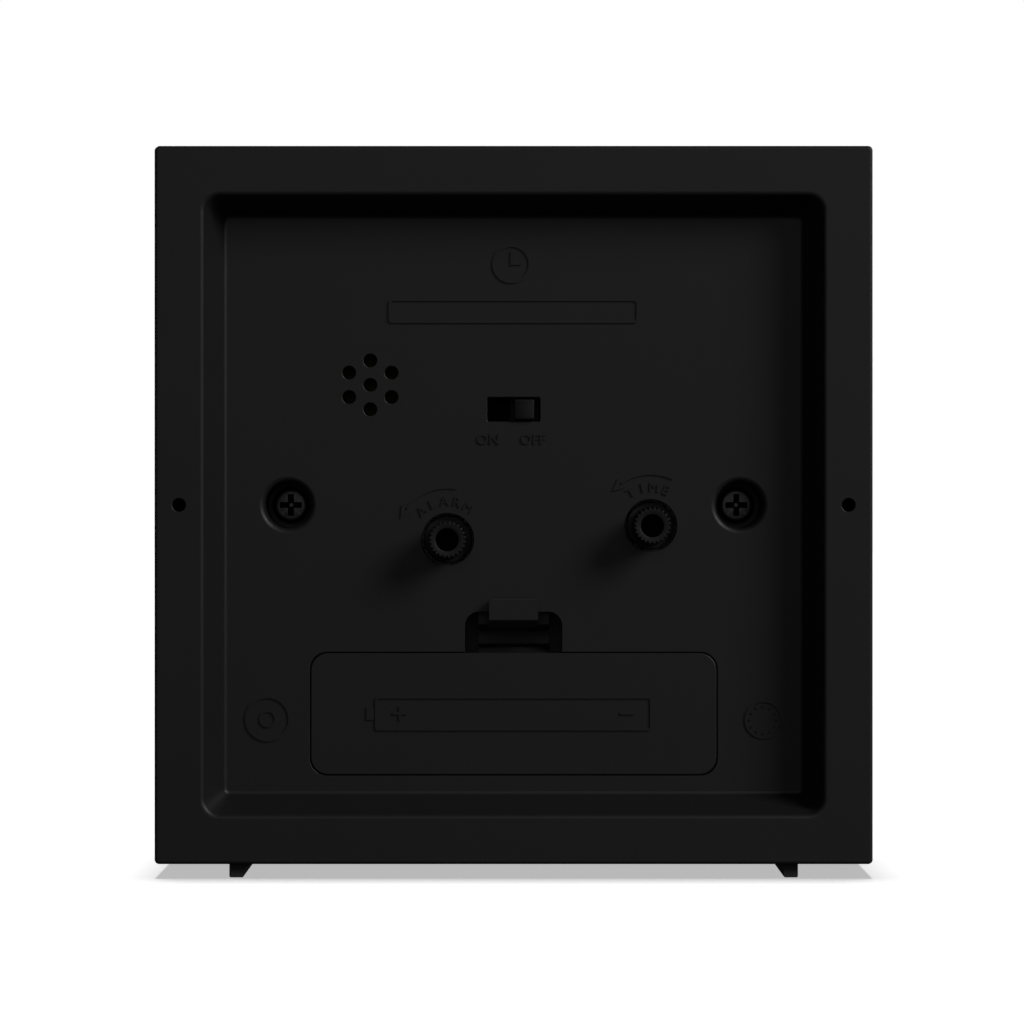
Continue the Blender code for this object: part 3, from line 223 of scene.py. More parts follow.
def frozen(item):
    """Mesh of an object as it stands, with its modifiers or its text made real."""
    bpy.context.view_layer.update()
    return bpy.data.meshes.new_from_object(item.evaluated_get(bpy.context.evaluated_depsgraph_get()))


def cut(mesh, solids, operation):
    """Boolean the solids into a mesh that is still in millimetres."""
    for solid in solids:
        item = bpy.data.objects.new("work", mesh)
        tool = bpy.data.objects.new("tool", mesh_of("tool", [solid]))
        for each in (item, tool):
            bpy.context.scene.collection.objects.link(each)
        change = item.modifiers.new("cut", "BOOLEAN")
        change.operation = operation
        change.solver = "EXACT"
        change.object = tool
        fresh = frozen(item)
        bpy.data.objects.remove(item, do_unlink=True)
        bpy.data.objects.remove(tool, do_unlink=True)
        mesh = fresh
    return mesh


def clean(mesh, angle=0.15):
    """Merge what the Booleans split, and put what lies near the panel or the rear face exactly on it."""
    work = bmesh.new()
    work.from_mesh(mesh)
    bmesh.ops.remove_doubles(work, verts=work.verts, dist=0.003)
    for vert in work.verts:
        for level in (PANEL_Y, REAR_Y):
            if abs(vert.co.y - level) < 0.006:
                vert.co.y = level
    bmesh.ops.dissolve_limit(work, angle_limit=math.radians(angle),
                             verts=work.verts, edges=work.edges)
    bmesh.ops.triangulate(work, faces=[f for f in work.faces if len(f.verts) > 4])
    work.to_mesh(mesh)
    work.free()
    return mesh


def crease_flats(mesh):
    """Crease the border of every face square to an axis, so that long triangles there shade flat."""
    work = bmesh.new()
    work.from_mesh(mesh)
    work.normal_update()
    for edge in work.edges:
        if len(edge.link_faces) == 2:
            one, two = (face.normal for face in edge.link_faces)
            square = max(max(abs(v) for v in one), max(abs(v) for v in two)) > 0.999999
            if square and one.dot(two) < 0.99996:
                edge.smooth = False
    work.to_mesh(mesh)
    work.free()


def piece(name, mesh, body, material, replaced=(), smooth=35.0, weighted=False):
    """Finish a piece: scale to metres, shade, and hang it on its body."""
    mesh.name = name
    mesh.transform(Matrix.Translation((0.0, 0.0, MID_Z * MM)) @ Matrix.Scale(MM, 4))
    mesh.materials.clear()
    mesh.materials.append(material)
    mesh.shade_smooth()
    if smooth is not None:
        mesh.set_sharp_from_angle(angle=math.radians(smooth))
    if weighted:
        crease_flats(mesh)
    item = bpy.data.objects.new(name, mesh)
    bpy.context.scene.collection.objects.link(item)
    if weighted:
        even = item.modifiers.new("even", "WEIGHTED_NORMAL")
        even.mode = "FACE_AREA"
        even.weight = 50
        even.keep_sharp = True
    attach(item, body)
    if replaced:
        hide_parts(*replaced)
    return item


# ---------------------------------------------------------------- materials
class Nodes:
    """Small helper round one material's node tree."""

    def __init__(self, name):
        self.material = bpy.data.materials.new(name)
        self.material.use_nodes = True
        self.tree = self.material.node_tree
        self.shader = self.tree.nodes["Principled BSDF"]
        self.place = self.tree.nodes.new("ShaderNodeTexCoord").outputs["Object"]

    def new(self, kind, **values):
        node = self.tree.nodes.new(kind)
        for key, value in values.items():
            if key in node.inputs:
                node.inputs[key].default_value = value
            else:
                setattr(node, key, value)
        return node

    def link(self, a, b):
        self.tree.links.new(a, b)

    def stretch(self, scale):
        node = self.new("ShaderNodeMapping")
        node.inputs["Scale"].default_value = scale
        self.link(self.place, node.inputs["Vector"])
        return node.outputs["Vector"]

    def noise(self, size_mm, detail=3.0, rough=0.55, vector=None):
        node = self.new("ShaderNodeTexNoise", Scale=1.0 / (size_mm * MM), Detail=detail, Roughness=rough)
        self.link(vector or self.place, node.inputs["Vector"])
        return node.outputs["Fac"]

    def spread(self, value, low, high, start=0.3, end=0.7):
        node = self.new("ShaderNodeMapRange")
        for key, number in (("From Min", start), ("From Max", end), ("To Min", low), ("To Max", high)):
            node.inputs[key].default_value = number
        self.link(value, node.inputs["Value"])
        return node.outputs["Result"]

    def mix(self, factor, one, two):
        node = self.new("ShaderNodeMix", data_type="RGBA")
        self.link(factor, node.inputs["Factor"])
        node.inputs["A"].default_value = (*one, 1.0)
        node.inputs["B"].default_value = (*two, 1.0)
        return node.outputs["Result"]

    def bump(self, height, distance_mm, strength, below=None):
        node = self.new("ShaderNodeBump", Strength=strength, Distance=distance_mm * MM)
        self.link(height, node.inputs["Height"])
        if below is not None:
            self.link(below, node.inputs["Normal"])
        return node.outputs["Normal"]


def shade(value, factor):
    return tuple(min(1.0, v * factor) for v in value)


def moulded(name, colour, rough, grain=0.12, depth=0.006, spread=0.05, level=0.5):
    """Moulded plastic: fine spark-eroded grain, slow shade change and uneven gloss."""
    n = Nodes(name)
    slow = n.noise(9.0, 2.0)
    fine = n.noise(grain, 2.0, 0.6)
    tone = n.mix(n.spread(slow, 0.0, 1.0), shade(colour, 0.97), shade(colour, 1.03))
    n.link(tone, n.shader.inputs["Base Color"])
    n.link(n.spread(n.noise(2.2, 4.0), rough - spread, rough + spread), n.shader.inputs["Roughness"])
    n.link(n.bump(fine, depth, 1.0), n.shader.inputs["Normal"])
    n.shader.inputs["Specular IOR Level"].default_value = level
    return n.material


def metal(name, colour, rough, along=(1.0, 1.0, 1.0), grain=0.15, depth=0.003):
    """Metal with drawn or rolled marks."""
    n = Nodes(name)
    lines = n.noise(grain, 3.0, 0.6, n.stretch(along))
    cloud = n.noise(3.0, 3.0)
    tone = n.mix(n.spread(cloud, 0.0, 1.0), shade(colour, 0.8), shade(colour, 1.1))
    n.link(tone, n.shader.inputs["Base Color"])
    n.link(n.spread(lines, rough - 0.08, rough + 0.1), n.shader.inputs["Roughness"])
    n.link(n.bump(lines, depth, 0.8), n.shader.inputs["Normal"])
    n.shader.inputs["Metallic"].default_value = 1.0
    return n.material


CASE_COLOUR = (0.0145, 0.0145, 0.0148)
case_black = moulded("case_black", CASE_COLOUR, 0.47, 0.16, 0.004, 0.008, 0.38)
door_black = moulded("door_black", CASE_COLOUR, 0.47, 0.16, 0.004, 0.008, 0.38)
trim_black = moulded("trim_black", (0.007, 0.007, 0.0072), 0.5, 0.1, 0.002, 0.03, 0.25)
knob_black = moulded("knob_black", (0.013, 0.013, 0.0132), 0.5, 0.1, 0.002, 0.03, 0.25)
# Painted light: the feet are the case's black plastic, painted about three times lighter so that their
# colour stands in for light reaching them under the body
foot_painted_light = moulded("foot_painted_light", (0.045, 0.045, 0.045), 0.6, 0.14, 0.006, 0.03, 0.3)
ink_raised = moulded("raised_marks", CASE_COLOUR, 0.47, 0.16, 0.003, 0.03, 0.38)
ink_black = moulded("dial_ink", (0.014, 0.014, 0.015), 0.5, 0.2, 0.001)
# Painted shade: the switch body and the knob shafts, seen only down the switch window and knob holes, get a
# near-black far darker than the case plastic, standing in for the shade in those pits
pit_painted_shade = moulded("switch_painted_shade", (0.002, 0.002, 0.002), 0.7, 0.2, 0.002, 0.03, 0.1)
# Sounder disc: brass with its colour set very dark, about a twentieth of the rolled brass
piezo_brass = metal("brass_very_dark", (0.035, 0.030, 0.010), 0.55, (0.15, 1.0, 1.0), 0.1, 0.002)
natural = moulded("natural_acetal", (0.72, 0.70, 0.64), 0.42, 0.2, 0.003)
screw_black = metal("screw_black", (0.085, 0.085, 0.086), 0.32, (1.0, 1.0, 1.0), 0.08, 0.002)
steel = metal("steel_plated", (0.60, 0.60, 0.58), 0.28, (0.2, 1.0, 1.0), 0.1, 0.002)
brass = metal("brass_rolled", (0.66, 0.46, 0.17), 0.3, (0.15, 1.0, 1.0), 0.1, 0.002)
magnet = metal("magnet_sintered", (0.13, 0.13, 0.14), 0.5, (1.0, 1.0, 1.0), 0.12, 0.004)
red_lacquer = moulded("lacquer_red", (0.60, 0.025, 0.015), 0.3, 0.3, 0.001)
black_lacquer = moulded("lacquer_black", (0.012, 0.012, 0.012), 0.3, 0.3, 0.001)
gold_lacquer = moulded("lacquer_gold", (0.62, 0.40, 0.10), 0.32, 0.3, 0.001)
white_print = moulded("dial_white", (0.80, 0.80, 0.77), 0.55, 0.1, 0.002)
red_wire = moulded("wire_red", (0.55, 0.02, 0.015), 0.4, 0.2, 0.002)
black_wire = moulded("wire_black", (0.015, 0.015, 0.015), 0.4, 0.2, 0.002)
chip_resin = moulded("chip_resin", (0.02, 0.02, 0.02), 0.6, 0.1, 0.004)
ceramic = moulded("ceramic_fired", (0.76, 0.73, 0.65), 0.35, 0.15, 0.002)


def copper_winding():
    n = Nodes("copper_winding")
    wave = n.new("ShaderNodeTexWave", Scale=1.0 / (0.35 * MM), Distortion=0.4)
    wave.bands_direction = "X"
    n.link(n.place, wave.inputs["Vector"])
    strands = n.mix(wave.outputs["Fac"], (0.42, 0.12, 0.04), (0.80, 0.33, 0.13))
    n.link(strands, n.shader.inputs["Base Color"])
    n.link(n.bump(wave.outputs["Fac"], 0.04, 0.8), n.shader.inputs["Normal"])
    n.link(n.spread(n.noise(0.5), 0.25, 0.4), n.shader.inputs["Roughness"])
    n.shader.inputs["Metallic"].default_value = 0.8
    return n.material


def board_green():
    n = Nodes("board_green")
    cells = n.new("ShaderNodeTexBrick", Scale=1.0 / (2.2 * MM))
    cells.inputs["Mortar Size"].default_value = 0.08
    n.link(n.place, cells.inputs["Vector"])
    tracks = n.mix(cells.outputs["Fac"], (0.012, 0.13, 0.055), (0.03, 0.26, 0.11))
    n.link(tracks, n.shader.inputs["Base Color"])
    n.link(n.bump(cells.outputs["Fac"], 0.03, 0.6), n.shader.inputs["Normal"])
    n.link(n.spread(n.noise(1.2), 0.3, 0.45), n.shader.inputs["Roughness"])
    return n.material


def cell_wrap():
    """Plain printed sleeve: dark body, one copper coloured band toward the positive end."""
    n = Nodes("cell_wrap")
    split = n.new("ShaderNodeSeparateXYZ")
    n.link(n.place, split.inputs[0])
    band = n.spread(split.outputs["X"], 0.0, 1.0, 0.0125, 0.0128)
    n.link(n.mix(band, (0.012, 0.012, 0.014), (0.55, 0.24, 0.08)), n.shader.inputs["Base Color"])
    n.link(n.spread(n.noise(3.0), 0.18, 0.3), n.shader.inputs["Roughness"])
    n.link(n.bump(n.noise(0.4), 0.002, 0.6), n.shader.inputs["Normal"])
    n.shader.inputs["Metallic"].default_value = 0.3
    return n.material


def clear_lens():
    n = Nodes("lens_clear")
    n.shader.inputs["Base Color"].default_value = (1.0, 1.0, 1.0, 1.0)
    n.shader.inputs["Transmission Weight"].default_value = 1.0
    n.shader.inputs["IOR"].default_value = 1.2
    n.link(n.spread(n.noise(6.0, 4.0), 0.0, 0.02), n.shader.inputs["Roughness"])
    return n.material


copper = copper_winding()
board = board_green()
wrap = cell_wrap()
lens_clear = clear_lens()

# ---------------------------------------------------------------- rear cover
OUT_R = 0.65
LEAST_R = 0.12
OUTER_FROM = 46.0
CORE_HALF = 30.0
RECESS_LOW, RECESS_HIGH, RECESS_SLOPE = 40.7, 43.2, 2.5
RIM_IN_Y = 18.0
BOSS_R, BOSS_Y = 4.8, 1.0
SCREW_BORE_R, SCREW_HOLE_R = 3.3, 1.6
KNOB_HOLE_R = 3.65
GRILLE_HOLE_R, GRILLE_RING_R = 0.93, 3.44
RIM_HOLE_X, RIM_HOLE_R = 46.6, 0.93


def corner_radius(half):
    """Radius of the cover's corner seen from behind, at a given distance from the middle."""
    if half > OUTER_FROM:
        return max(LEAST_R, OUT_R - (CASE_HALF - half))
    share = (half - RECESS_LOW) / RECESS_SLOPE
    return max(0.5, 0.8 + share * 1.5)


cover_profile = soft_path([
    (CORE_HALF, PANEL_Y, 0.0), (RECESS_LOW, PANEL_Y, 0.6), (RECESS_HIGH, REAR_Y, 0.65),
    (CASE_HALF, REAR_Y, 0.45), (CASE_HALF, PARTING_Y, 0.2), (WALL_IN, PARTING_Y, 0.0),
    (WALL_IN, RIM_IN_Y, 0.0), (45.4, RIM_IN_Y, 0.0), (42.9, PANEL_IN_Y, 0.0),
    (CORE_HALF, PANEL_IN_Y, 0.0)])[1:-1]
shell = loft([(rounded(half, half, corner_radius(half)), y) for half, y in cover_profile])
cover = mesh_of("cover", [shell])
root_y = PANEL_IN_Y + 0.6
well_low = BAY_ZR + 0.5 * DOOR_H - 0.4
cover = cut(cover, [
    prism(rounded(30.0, 9.8, 1.0, (0.0, BAY_ZR)), -5.8, root_y),
    box(-8.05, 8.05, 3.4, root_y, BAY_ZR + 8.8, -12.9),
    plug(BOSS_R, BOSS_Y, root_y, 48, (-SCREW_X, 0.0)),
    plug(BOSS_R, BOSS_Y, root_y, 48, (SCREW_X, 0.0)),
    prism(circle(10.4, 64, GRILLE_AT), 7.6, root_y, [circle(9.3, 64, GRILLE_AT)]),
    prism(circle(9.0, 64, GRILLE_AT), 8.6, root_y, [circle(7.8, 64, GRILLE_AT)]),
    box(-8.6, -7.3, 7.6, root_y, SWITCH_ZR - 3.4, SWITCH_ZR + 3.4),
    box(7.3, 8.6, 7.6, root_y, SWITCH_ZR - 3.4, SWITCH_ZR + 3.4),
], "UNION")
beyond = PANEL_Y + 1.0
notch = [(-NOTCH_HALF, well_low), (NOTCH_HALF, well_low)]
notch_mid = NOTCH_TOP - 6.0
notch += [(x, z) for x, z in rounded(NOTCH_HALF, 6.0, 2.0, (0.0, notch_mid)) if z > notch_mid]
cutters = [
    mouth(lambda g: rounded(0.5 * DOOR_W + 0.14 + g, 0.5 * DOOR_H + 0.14 + g, DOOR_R + g, (0.0, BAY_ZR)),
          PANEL_Y, 11.2, 0.08, 3),
    prism(rounded(26.8, 7.6, 0.6, (0.0, BAY_ZR)), -4.6, 12.0),
    prism(notch, PANEL_IN_Y - 0.5, beyond),
    across([(11.05, NOTCH_TOP + 0.3), (PANEL_IN_Y - 0.05, -13.9), (4.4, -13.9), (4.4, well_low),
            (beyond, well_low), (beyond, -19.0), (11.05, -19.0)], NOTCH_HALF - 0.01),
    box(-20.0, -12.0, 8.4, 11.6, -39.65, -36.0),
    box(12.0, 20.0, 8.4, 11.6, -39.65, -36.0),
    mouth(lambda g: rounded(3.7 + g, 1.7 + g, 0.25 + g, (0.0, SWITCH_ZR)),
          PANEL_Y, HOLE_END_Y, MOUTH_EDGE, 3),
]
for at in (TIME_AT, ALARM_AT):
    cutters.append(mouth(lambda g, at=at: circle(KNOB_HOLE_R + g, 64, at),
                         PANEL_Y, HOLE_END_Y, MOUTH_EDGE, 3))
for x in (-SCREW_X, SCREW_X):
    cutters.append(mouth(lambda g, x=x: circle(SCREW_BORE_R + g, 64, (x, 0.0)), PANEL_Y, 2.5, 0.75, 7))
    cutters.append(plug(SCREW_HOLE_R, -0.5, 3.0, 24, (x, 0.0)))
grille = [GRILLE_AT]
for k in range(6):
    turn = math.radians(90.0 + 60.0 * k)
    grille.append((GRILLE_AT[0] + GRILLE_RING_R * math.cos(turn),
                   GRILLE_AT[1] + GRILLE_RING_R * math.sin(turn)))
for at in grille:
    cutters.append(mouth(lambda g, at=at: circle(GRILLE_HOLE_R + g, 24, at),
                         PANEL_Y, HOLE_END_Y, MOUTH_EDGE, 3))
for x in (-RIM_HOLE_X, RIM_HOLE_X):
    cutters.append(mouth(lambda g, x=x: circle(RIM_HOLE_R + g, 24, (x, 0.0)), REAR_Y, 17.0, MOUTH_EDGE, 3))
cover = clean(cut(cover, cutters, "DIFFERENCE"))
piece("rear_cover_moulding", cover, "case", case_black, ["rear_cover"], 40.0, True)

# ---------------------------------------------------------------- front housing
WINDOW_HALF, WINDOW_R, BEZEL_T = 44.0, 8.0, 1.8
POCKET_HALF, POCKET_R = 47.0, 1.0
POST_IN = 42.6
CHASSIS_SCREW = 44.9
join_y = PARTING_Y - PARTING_GAP
front_profile = soft_path([
    (CASE_HALF, join_y, 0.2), (CASE_HALF, FRONT_Y, 0.5), (WINDOW_HALF, FRONT_Y, 0.8),
    (WINDOW_HALF, FRONT_Y + BEZEL_T, 0.0), (POCKET_HALF, FRONT_Y + BEZEL_T, 0.0),
    (POCKET_HALF, join_y, 0.0)], True)


def front_radius(half):
    """Radius of the housing's corner at a given distance from the middle."""
    if half > POCKET_HALF + 0.5:
        return max(LEAST_R, OUT_R - (CASE_HALF - half))
    if half < POCKET_HALF - 0.1:
        return WINDOW_R + half - WINDOW_HALF
    return POCKET_R


front_loops = [(rounded(half, half, front_radius(half), steps=14), y) for half, y in front_profile]
housing = mesh_of("housing", [loft(front_loops, False)])
blocks, screw_holes = [], []
for sx in (-1, 1):
    for sz in (-1, 1):
        x0, x1 = sorted((POST_IN * sx, WALL_IN * sx))
        z0, z1 = sorted((POST_IN * sz, WALL_IN * sz))
        blocks.append(box(x0, x1, -18.8, -9.6, z0, z1))
        screw_holes.append(plug(0.95, -14.9, -8.4, 24, (CHASSIS_SCREW * sx, CHASSIS_SCREW * sz)))
housing = clean(cut(cut(housing, blocks, "UNION"), screw_holes, "DIFFERENCE"))
piece("front_housing_moulding", housing, "case", case_black, ["front_housing"],
      40.0, True)

# ---------------------------------------------------------------- feet
FOOT_X = 39.7
for sign, word in ((-1, "left"), (1, "right")):
    out = FOOT_X * sign
    outline = [(out, -MID_Z + 0.15), (out - 0.15 * sign, -MID_Z),
               (out - 1.85 * sign, -MID_Z), (out - 2.0 * sign, -51.85)]
    for k in range(1, 9):
        turn = math.radians(90.0 * k / 9)
        outline.append((out - sign * (2.0 + 1.65 * (1.0 - math.cos(turn))), -51.5 + 1.45 * math.sin(turn)))
    outline += [(out - 3.65 * sign, -50.02), (out, -50.02)]
    if sign < 0:
        outline = outline[::-1]
    shrunk = [(out - 1.5 * sign + 0.93 * (x - out + 1.5 * sign), -50.5 + 0.95 * (z + 50.5))
              for x, z in outline]
    rail = mesh_of("foot", [loft([(shrunk, -15.0), (outline, -14.85), (outline, 17.85), (shrunk, 18.0)])])
    piece("foot_rail_" + word, rail, "case", foot_painted_light, ["foot_" + word], 30.0)

# ---------------------------------------------------------------- knobs
teeth = 24


def knurl(scale, root=2.32, tip=2.65):
    points = []
    for k in range(teeth):
        for share, reach in ((0.0, 0.0), (0.16, 0.35), (0.32, 0.9), (0.5, 1.0), (0.68, 0.9), (0.84, 0.35)):
            turn = 2.0 * math.pi * (k + share) / teeth
            radius = (root + (tip - root) * reach) * scale
            points.append((radius * math.cos(turn), radius * math.sin(turn)))
    return points


def moved(solid, at):
    verts, faces = solid
    return [(x + at[0], y, z + at[1]) for x, y, z in verts], faces


def knob_mesh(at):
    count = teeth * 6
    loops = [(circle(1.6, count), 8.2), (circle(3.2, count), 8.2), (circle(3.35, count), 8.35),
             (circle(3.35, count), 11.3), (circle(3.27, count), 11.46), (circle(3.1, count), 11.5),
             (knurl(1.0), 11.5), (knurl(1.0), 19.3), (knurl(0.975), 19.5), (knurl(0.93), 19.6),
             (circle(1.72, count), 19.6), (circle(1.62, count), 19.55), (circle(1.6, count), 19.45)]
    return mesh_of("knob", [moved(loft(loops, False), at)])


for at, word, body in ((TIME_AT, "time", "time_setting_knob"), (ALARM_AT, "alarm", "alarm_setting_knob")):
    piece(word + "_knob_knurled", knob_mesh(at), body, knob_black, [word + "_knob"], 28.0)

# ---------------------------------------------------------------- case screws
SEAT_Y = 2.6
HEAD_R, HEAD_EDGE, HEAD_H = 2.6, 0.7, 1.7
SHANK_R = 1.25
SLOT_HALF = 0.42


def spun(solid, degrees, x):
    """Solid turned about the Y axis, then shifted along X."""
    verts, faces = solid
    turn = math.radians(degrees)
    cos, sin = math.cos(turn), math.sin(turn)
    return [(x + px * cos - pz * sin, py, px * sin + pz * cos) for px, py, pz in verts], faces


def screw_mesh(x):
    """Pan head with a tapered cross, and four short marks between the arms of the cross."""
    y = SEAT_Y
    profile = [(0.0, y - 9.0), (0.7, y - 9.0), (SHANK_R, y - 7.8), (SHANK_R, y),
               (2.55, y), (HEAD_R, y + 0.1)]
    for k in range(7):
        turn = math.radians(90.0 * k / 6)
        profile.append((HEAD_R - HEAD_EDGE * (1.0 - math.cos(turn)), y + 0.95 + HEAD_EDGE * math.sin(turn)))
    profile += [(1.0, y + HEAD_H), (0.0, y + HEAD_H)]
    slot = loft([(rectangle(-0.25, 0.25, -SLOT_HALF + 0.25, SLOT_HALF - 0.25), y + 0.5),
                 (rectangle(-1.55, 1.55, -SLOT_HALF, SLOT_HALF), y + 1.55),
                 (rectangle(-1.6, 1.6, -SLOT_HALF, SLOT_HALF), y + 2.0)])
    mark = box(0.5, 1.9, y + 1.5, y + 2.0, -0.09, 0.09)
    tools = [spun(slot, 90.0 * k, x) for k in range(2)]
    tools += [spun(mark, 90.0 * k + 45.0, x) for k in range(4)]
    return clean(cut(mesh_of("screw", [turned(profile, 64, (x, 0.0))]), tools, "DIFFERENCE"))


for x, word in ((-SCREW_X, "left"), (SCREW_X, "right")):
    piece("case_screw_pozi_" + word, screw_mesh(x), "case", screw_black, ["case_screw_" + word],
          30.0, True)

# ---------------------------------------------------------------- alarm switch
SLIDER_X = -1.5


def cap(half, radius):
    return rounded(half, half, radius, (SLIDER_X, SWITCH_ZR), 3)


plate = box(SLIDER_X - 2.0, SLIDER_X + 2.0, 8.1, 9.0, SWITCH_ZR - 2.2, SWITCH_ZR + 2.2)
slider = mesh_of("slider", [plate])
cap_loops = [(cap(1.4, 0.15), 8.6), (cap(1.4, 0.15), 13.5), (cap(1.35, 0.12), 13.65), (cap(1.25, 0.1), 13.7)]
slider = clean(cut(slider, [loft(cap_loops)], "UNION"))
piece("switch_slider_cap", slider, "switch", trim_black, ["switch_slider"], 30.0)

# ---------------------------------------------------------------- battery door and latch
DOOR_EDGE = 0.12
LATCH_HALF, TAB_HALF = 5.0, 3.45


def door_outline(g):
    return rounded(0.5 * DOOR_W + g, 0.5 * DOOR_H + g, DOOR_R + g, (0.0, BAY_ZR), 10)


door_loops = [(door_outline(0.0), 11.4), (door_outline(0.0), PANEL_Y - DOOR_EDGE)]
for k in range(1, 4):
    turn = math.radians(90.0 * k / 3)
    door_loops.append((door_outline(-DOOR_EDGE * (1.0 - math.cos(turn))),
                       PANEL_Y - DOOR_EDGE + DOOR_EDGE * math.sin(turn)))
door = mesh_of("door", [loft(door_loops)])
top = BAY_ZR + 0.5 * DOOR_H
spring = soft_path([
    (11.9, top - 0.15, 0.0), (9.4, top + 0.72, 0.8), (6.1, top + 0.75, 0.6), (5.95, -17.85, 0.0),
    (4.95, -17.85, 0.0), (4.9, top - 0.1, 1.3), (11.7, top - 0.15, 0.0)], True)
door = cut(door, [across(spring, LATCH_HALF)], "UNION")
tabs = []
for x0, x1 in ((-19.0, -13.0), (13.0, 19.0)):
    tabs.append(box(x0, x1, 9.6, 12.0, -37.75, -36.55))
    tabs.append(box(x0 + 0.1, x1 - 0.1, 9.7, 11.2, -38.85, -36.95))
door = cut(door, tabs, "UNION")
door = clean(cut(door, [box(-24.0, 24.0, 10.4, 11.8, BAY_ZR - 6.5, BAY_ZR - 2.0)], "DIFFERENCE"))
piece("battery_door_moulding", door, "battery_door", door_black, ["battery_door"],
      40.0, True)

hook = soft_path([
    (4.95, -16.75, 0.3), (4.95, -17.65, 0.3), (9.6, -17.65, 0.3), (10.6, -16.9, 0.2),
    (10.6, -14.2, 0.1), (9.9, -14.2, 0.3), (8.5, -16.75, 0.6)], True)
latch = mesh_of("latch", [across(hook, LATCH_HALF)])
tab_y = soft_path([
    (9.0, -17.3, 0.0), (13.3, -17.3, 0.7), (14.6, -16.2, 0.3), (14.6, -13.0, 0.3), (13.5, -13.0, 0.2),
    (13.4, -15.9, 0.5), (9.0, -16.4, 0.0)], True)
latch = cut(latch, [across(tab_y, TAB_HALF)], "UNION")
tab_outline = rounded(TAB_HALF, 6.0, 0.9, (0.0, -19.0), 8)
frame_cut = prism(rectangle(-8.0, 8.0, -26.0, -10.0), 10.65, 16.5, [tab_outline])
latch = clean(cut(latch, [frame_cut], "DIFFERENCE"))
piece("battery_latch_moulding", latch, "latch", door_black, ["battery_door_latch"],
      40.0, True)

# ---------------------------------------------------------------- battery cell
CELL_START, CELL_Y = -24.2, 2.85


def lying(profile):
    """Turned solid laid along X in the battery bay."""
    verts, faces = turned(profile, 72)
    return [(CELL_START + y, CELL_Y + x, BAY_ZR + z) for x, y, z in verts], faces


sleeve = lying([(0.0, 0.45), (5.4, 0.45), (5.6, 0.05), (6.7, 0.05), (7.12, 0.3), (7.24, 0.8), (7.24, 48.6),
                (7.1, 49.1), (6.7, 49.4), (5.9, 49.4), (5.7, 49.1), (0.0, 49.1)])
piece("battery_cell_sleeve", mesh_of("sleeve", [sleeve]), "case", wrap, ["battery_cell"], 30.0)
ends = [lying([(0.0, 0.02), (5.1, 0.02), (5.3, 0.15), (5.3, 0.6), (0.0, 0.6)]),
        lying([(0.0, 48.9), (5.5, 48.9), (5.5, 49.25), (3.0, 49.3), (2.74, 49.5),
               (2.74, 50.25), (2.5, 50.48), (0.0, 50.48)])]
piece("battery_cell_ends", mesh_of("ends", ends), "case", steel, smooth=30.0)

# ---------------------------------------------------------------- raised labels, marks and dial print
def frame_at(x, y, z, rear, lean=0.0):
    """Matrix that stands flat lettering on the rear panel (rear) or on the dial, leaning by degrees."""
    if rear:
        basis = Matrix(((-1.0, 0.0, 0.0, x), (0.0, 0.0, 1.0, y), (0.0, 1.0, 0.0, z), (0.0, 0.0, 0.0, 1.0)))
    else:
        basis = Matrix(((1.0, 0.0, 0.0, x), (0.0, 0.0, -1.0, y), (0.0, 1.0, 0.0, z), (0.0, 0.0, 0.0, 1.0)))
    return basis @ Matrix.Rotation(math.radians(lean), 4, "Z")


def letters(text, cap, thick, place, bold=0.0):
    """Closed solid of a short text, cap height and thickness in millimetres, standing on its back face."""
    curve = bpy.data.curves.new("letters", "FONT")
    curve.body = text
    curve.size = cap / 0.73
    curve.align_x = "CENTER"
    curve.align_y = "CENTER"
    curve.resolution_u = 3
    curve.extrude = 0.5 * thick
    curve.offset = bold * cap
    item = bpy.data.objects.new("letters", curve)
    bpy.context.scene.collection.objects.link(item)
    mesh = frozen(item)
    bpy.data.objects.remove(item, do_unlink=True)
    work = bmesh.new()
    work.from_mesh(mesh)
    bmesh.ops.remove_doubles(work, verts=work.verts, dist=0.0005)
    bmesh.ops.translate(work, verts=work.verts, vec=(0.0, 0.0, 0.5 * thick))
    bmesh.ops.transform(work, matrix=place, verts=work.verts)
    work.verts.index_update()
    solid = [tuple(v.co) for v in work.verts], [[v.index for v in f.verts] for f in work.faces]
    work.free()
    return solid


def flat(outline, thick, place, holes=()):
    """Raised shape drawn in the plane of the lettering."""
    verts, faces = prism(outline, 0.0, thick, holes)
    return [tuple(place @ Vector((x, z, y))) for x, y, z in verts], faces


def arc_band(radius, width, start, end, steps=28):
    """Outline of a band along an arc, from start to end in degrees."""
    turns = [math.radians(start + (end - start) * k / steps) for k in range(steps + 1)]
    out, back = radius + 0.5 * width, radius - 0.5 * width
    outer = [(out * math.cos(t), out * math.sin(t)) for t in turns]
    inner = [(back * math.cos(t), back * math.sin(t)) for t in turns[::-1]]
    return outer + inner


MARK_T = 0.27
WORD_R, ARROW_R = 5.35, 7.25
ROOT = PANEL_Y - 0.02
marks = []
for text, x in (("ON", 3.57), ("OFF", -2.75)):
    marks.append(letters(text, 1.5, MARK_T, frame_at(x, ROOT, 9.17, True), 0.012))
for text, at, first, last, low, high in (("ALARM", ALARM_AT, 132.0, 57.0, 80.0, 156.0),
                                         ("TIME", TIME_AT, 121.0, 67.0, 65.0, 138.0)):
    for k, sign in enumerate(text):
        turn = first + (last - first) * k / (len(text) - 1)
        x = WORD_R * math.cos(math.radians(turn))
        z = WORD_R * math.sin(math.radians(turn))
        marks.append(letters(sign, 1.4, MARK_T, frame_at(at[0] - x, ROOT, at[1] + z, True, turn - 90.0)))
    place = frame_at(at[0], ROOT, at[1], True)
    marks.append(flat(arc_band(ARROW_R, 0.22, low, high - 11.0), MARK_T, place))
    head = []
    for radius, turn in ((ARROW_R, high), (8.05, high - 13.0), (6.45, high - 13.0)):
        head.append((radius * math.cos(math.radians(turn)), radius * math.sin(math.radians(turn))))
    marks.append(flat(head, MARK_T, place))
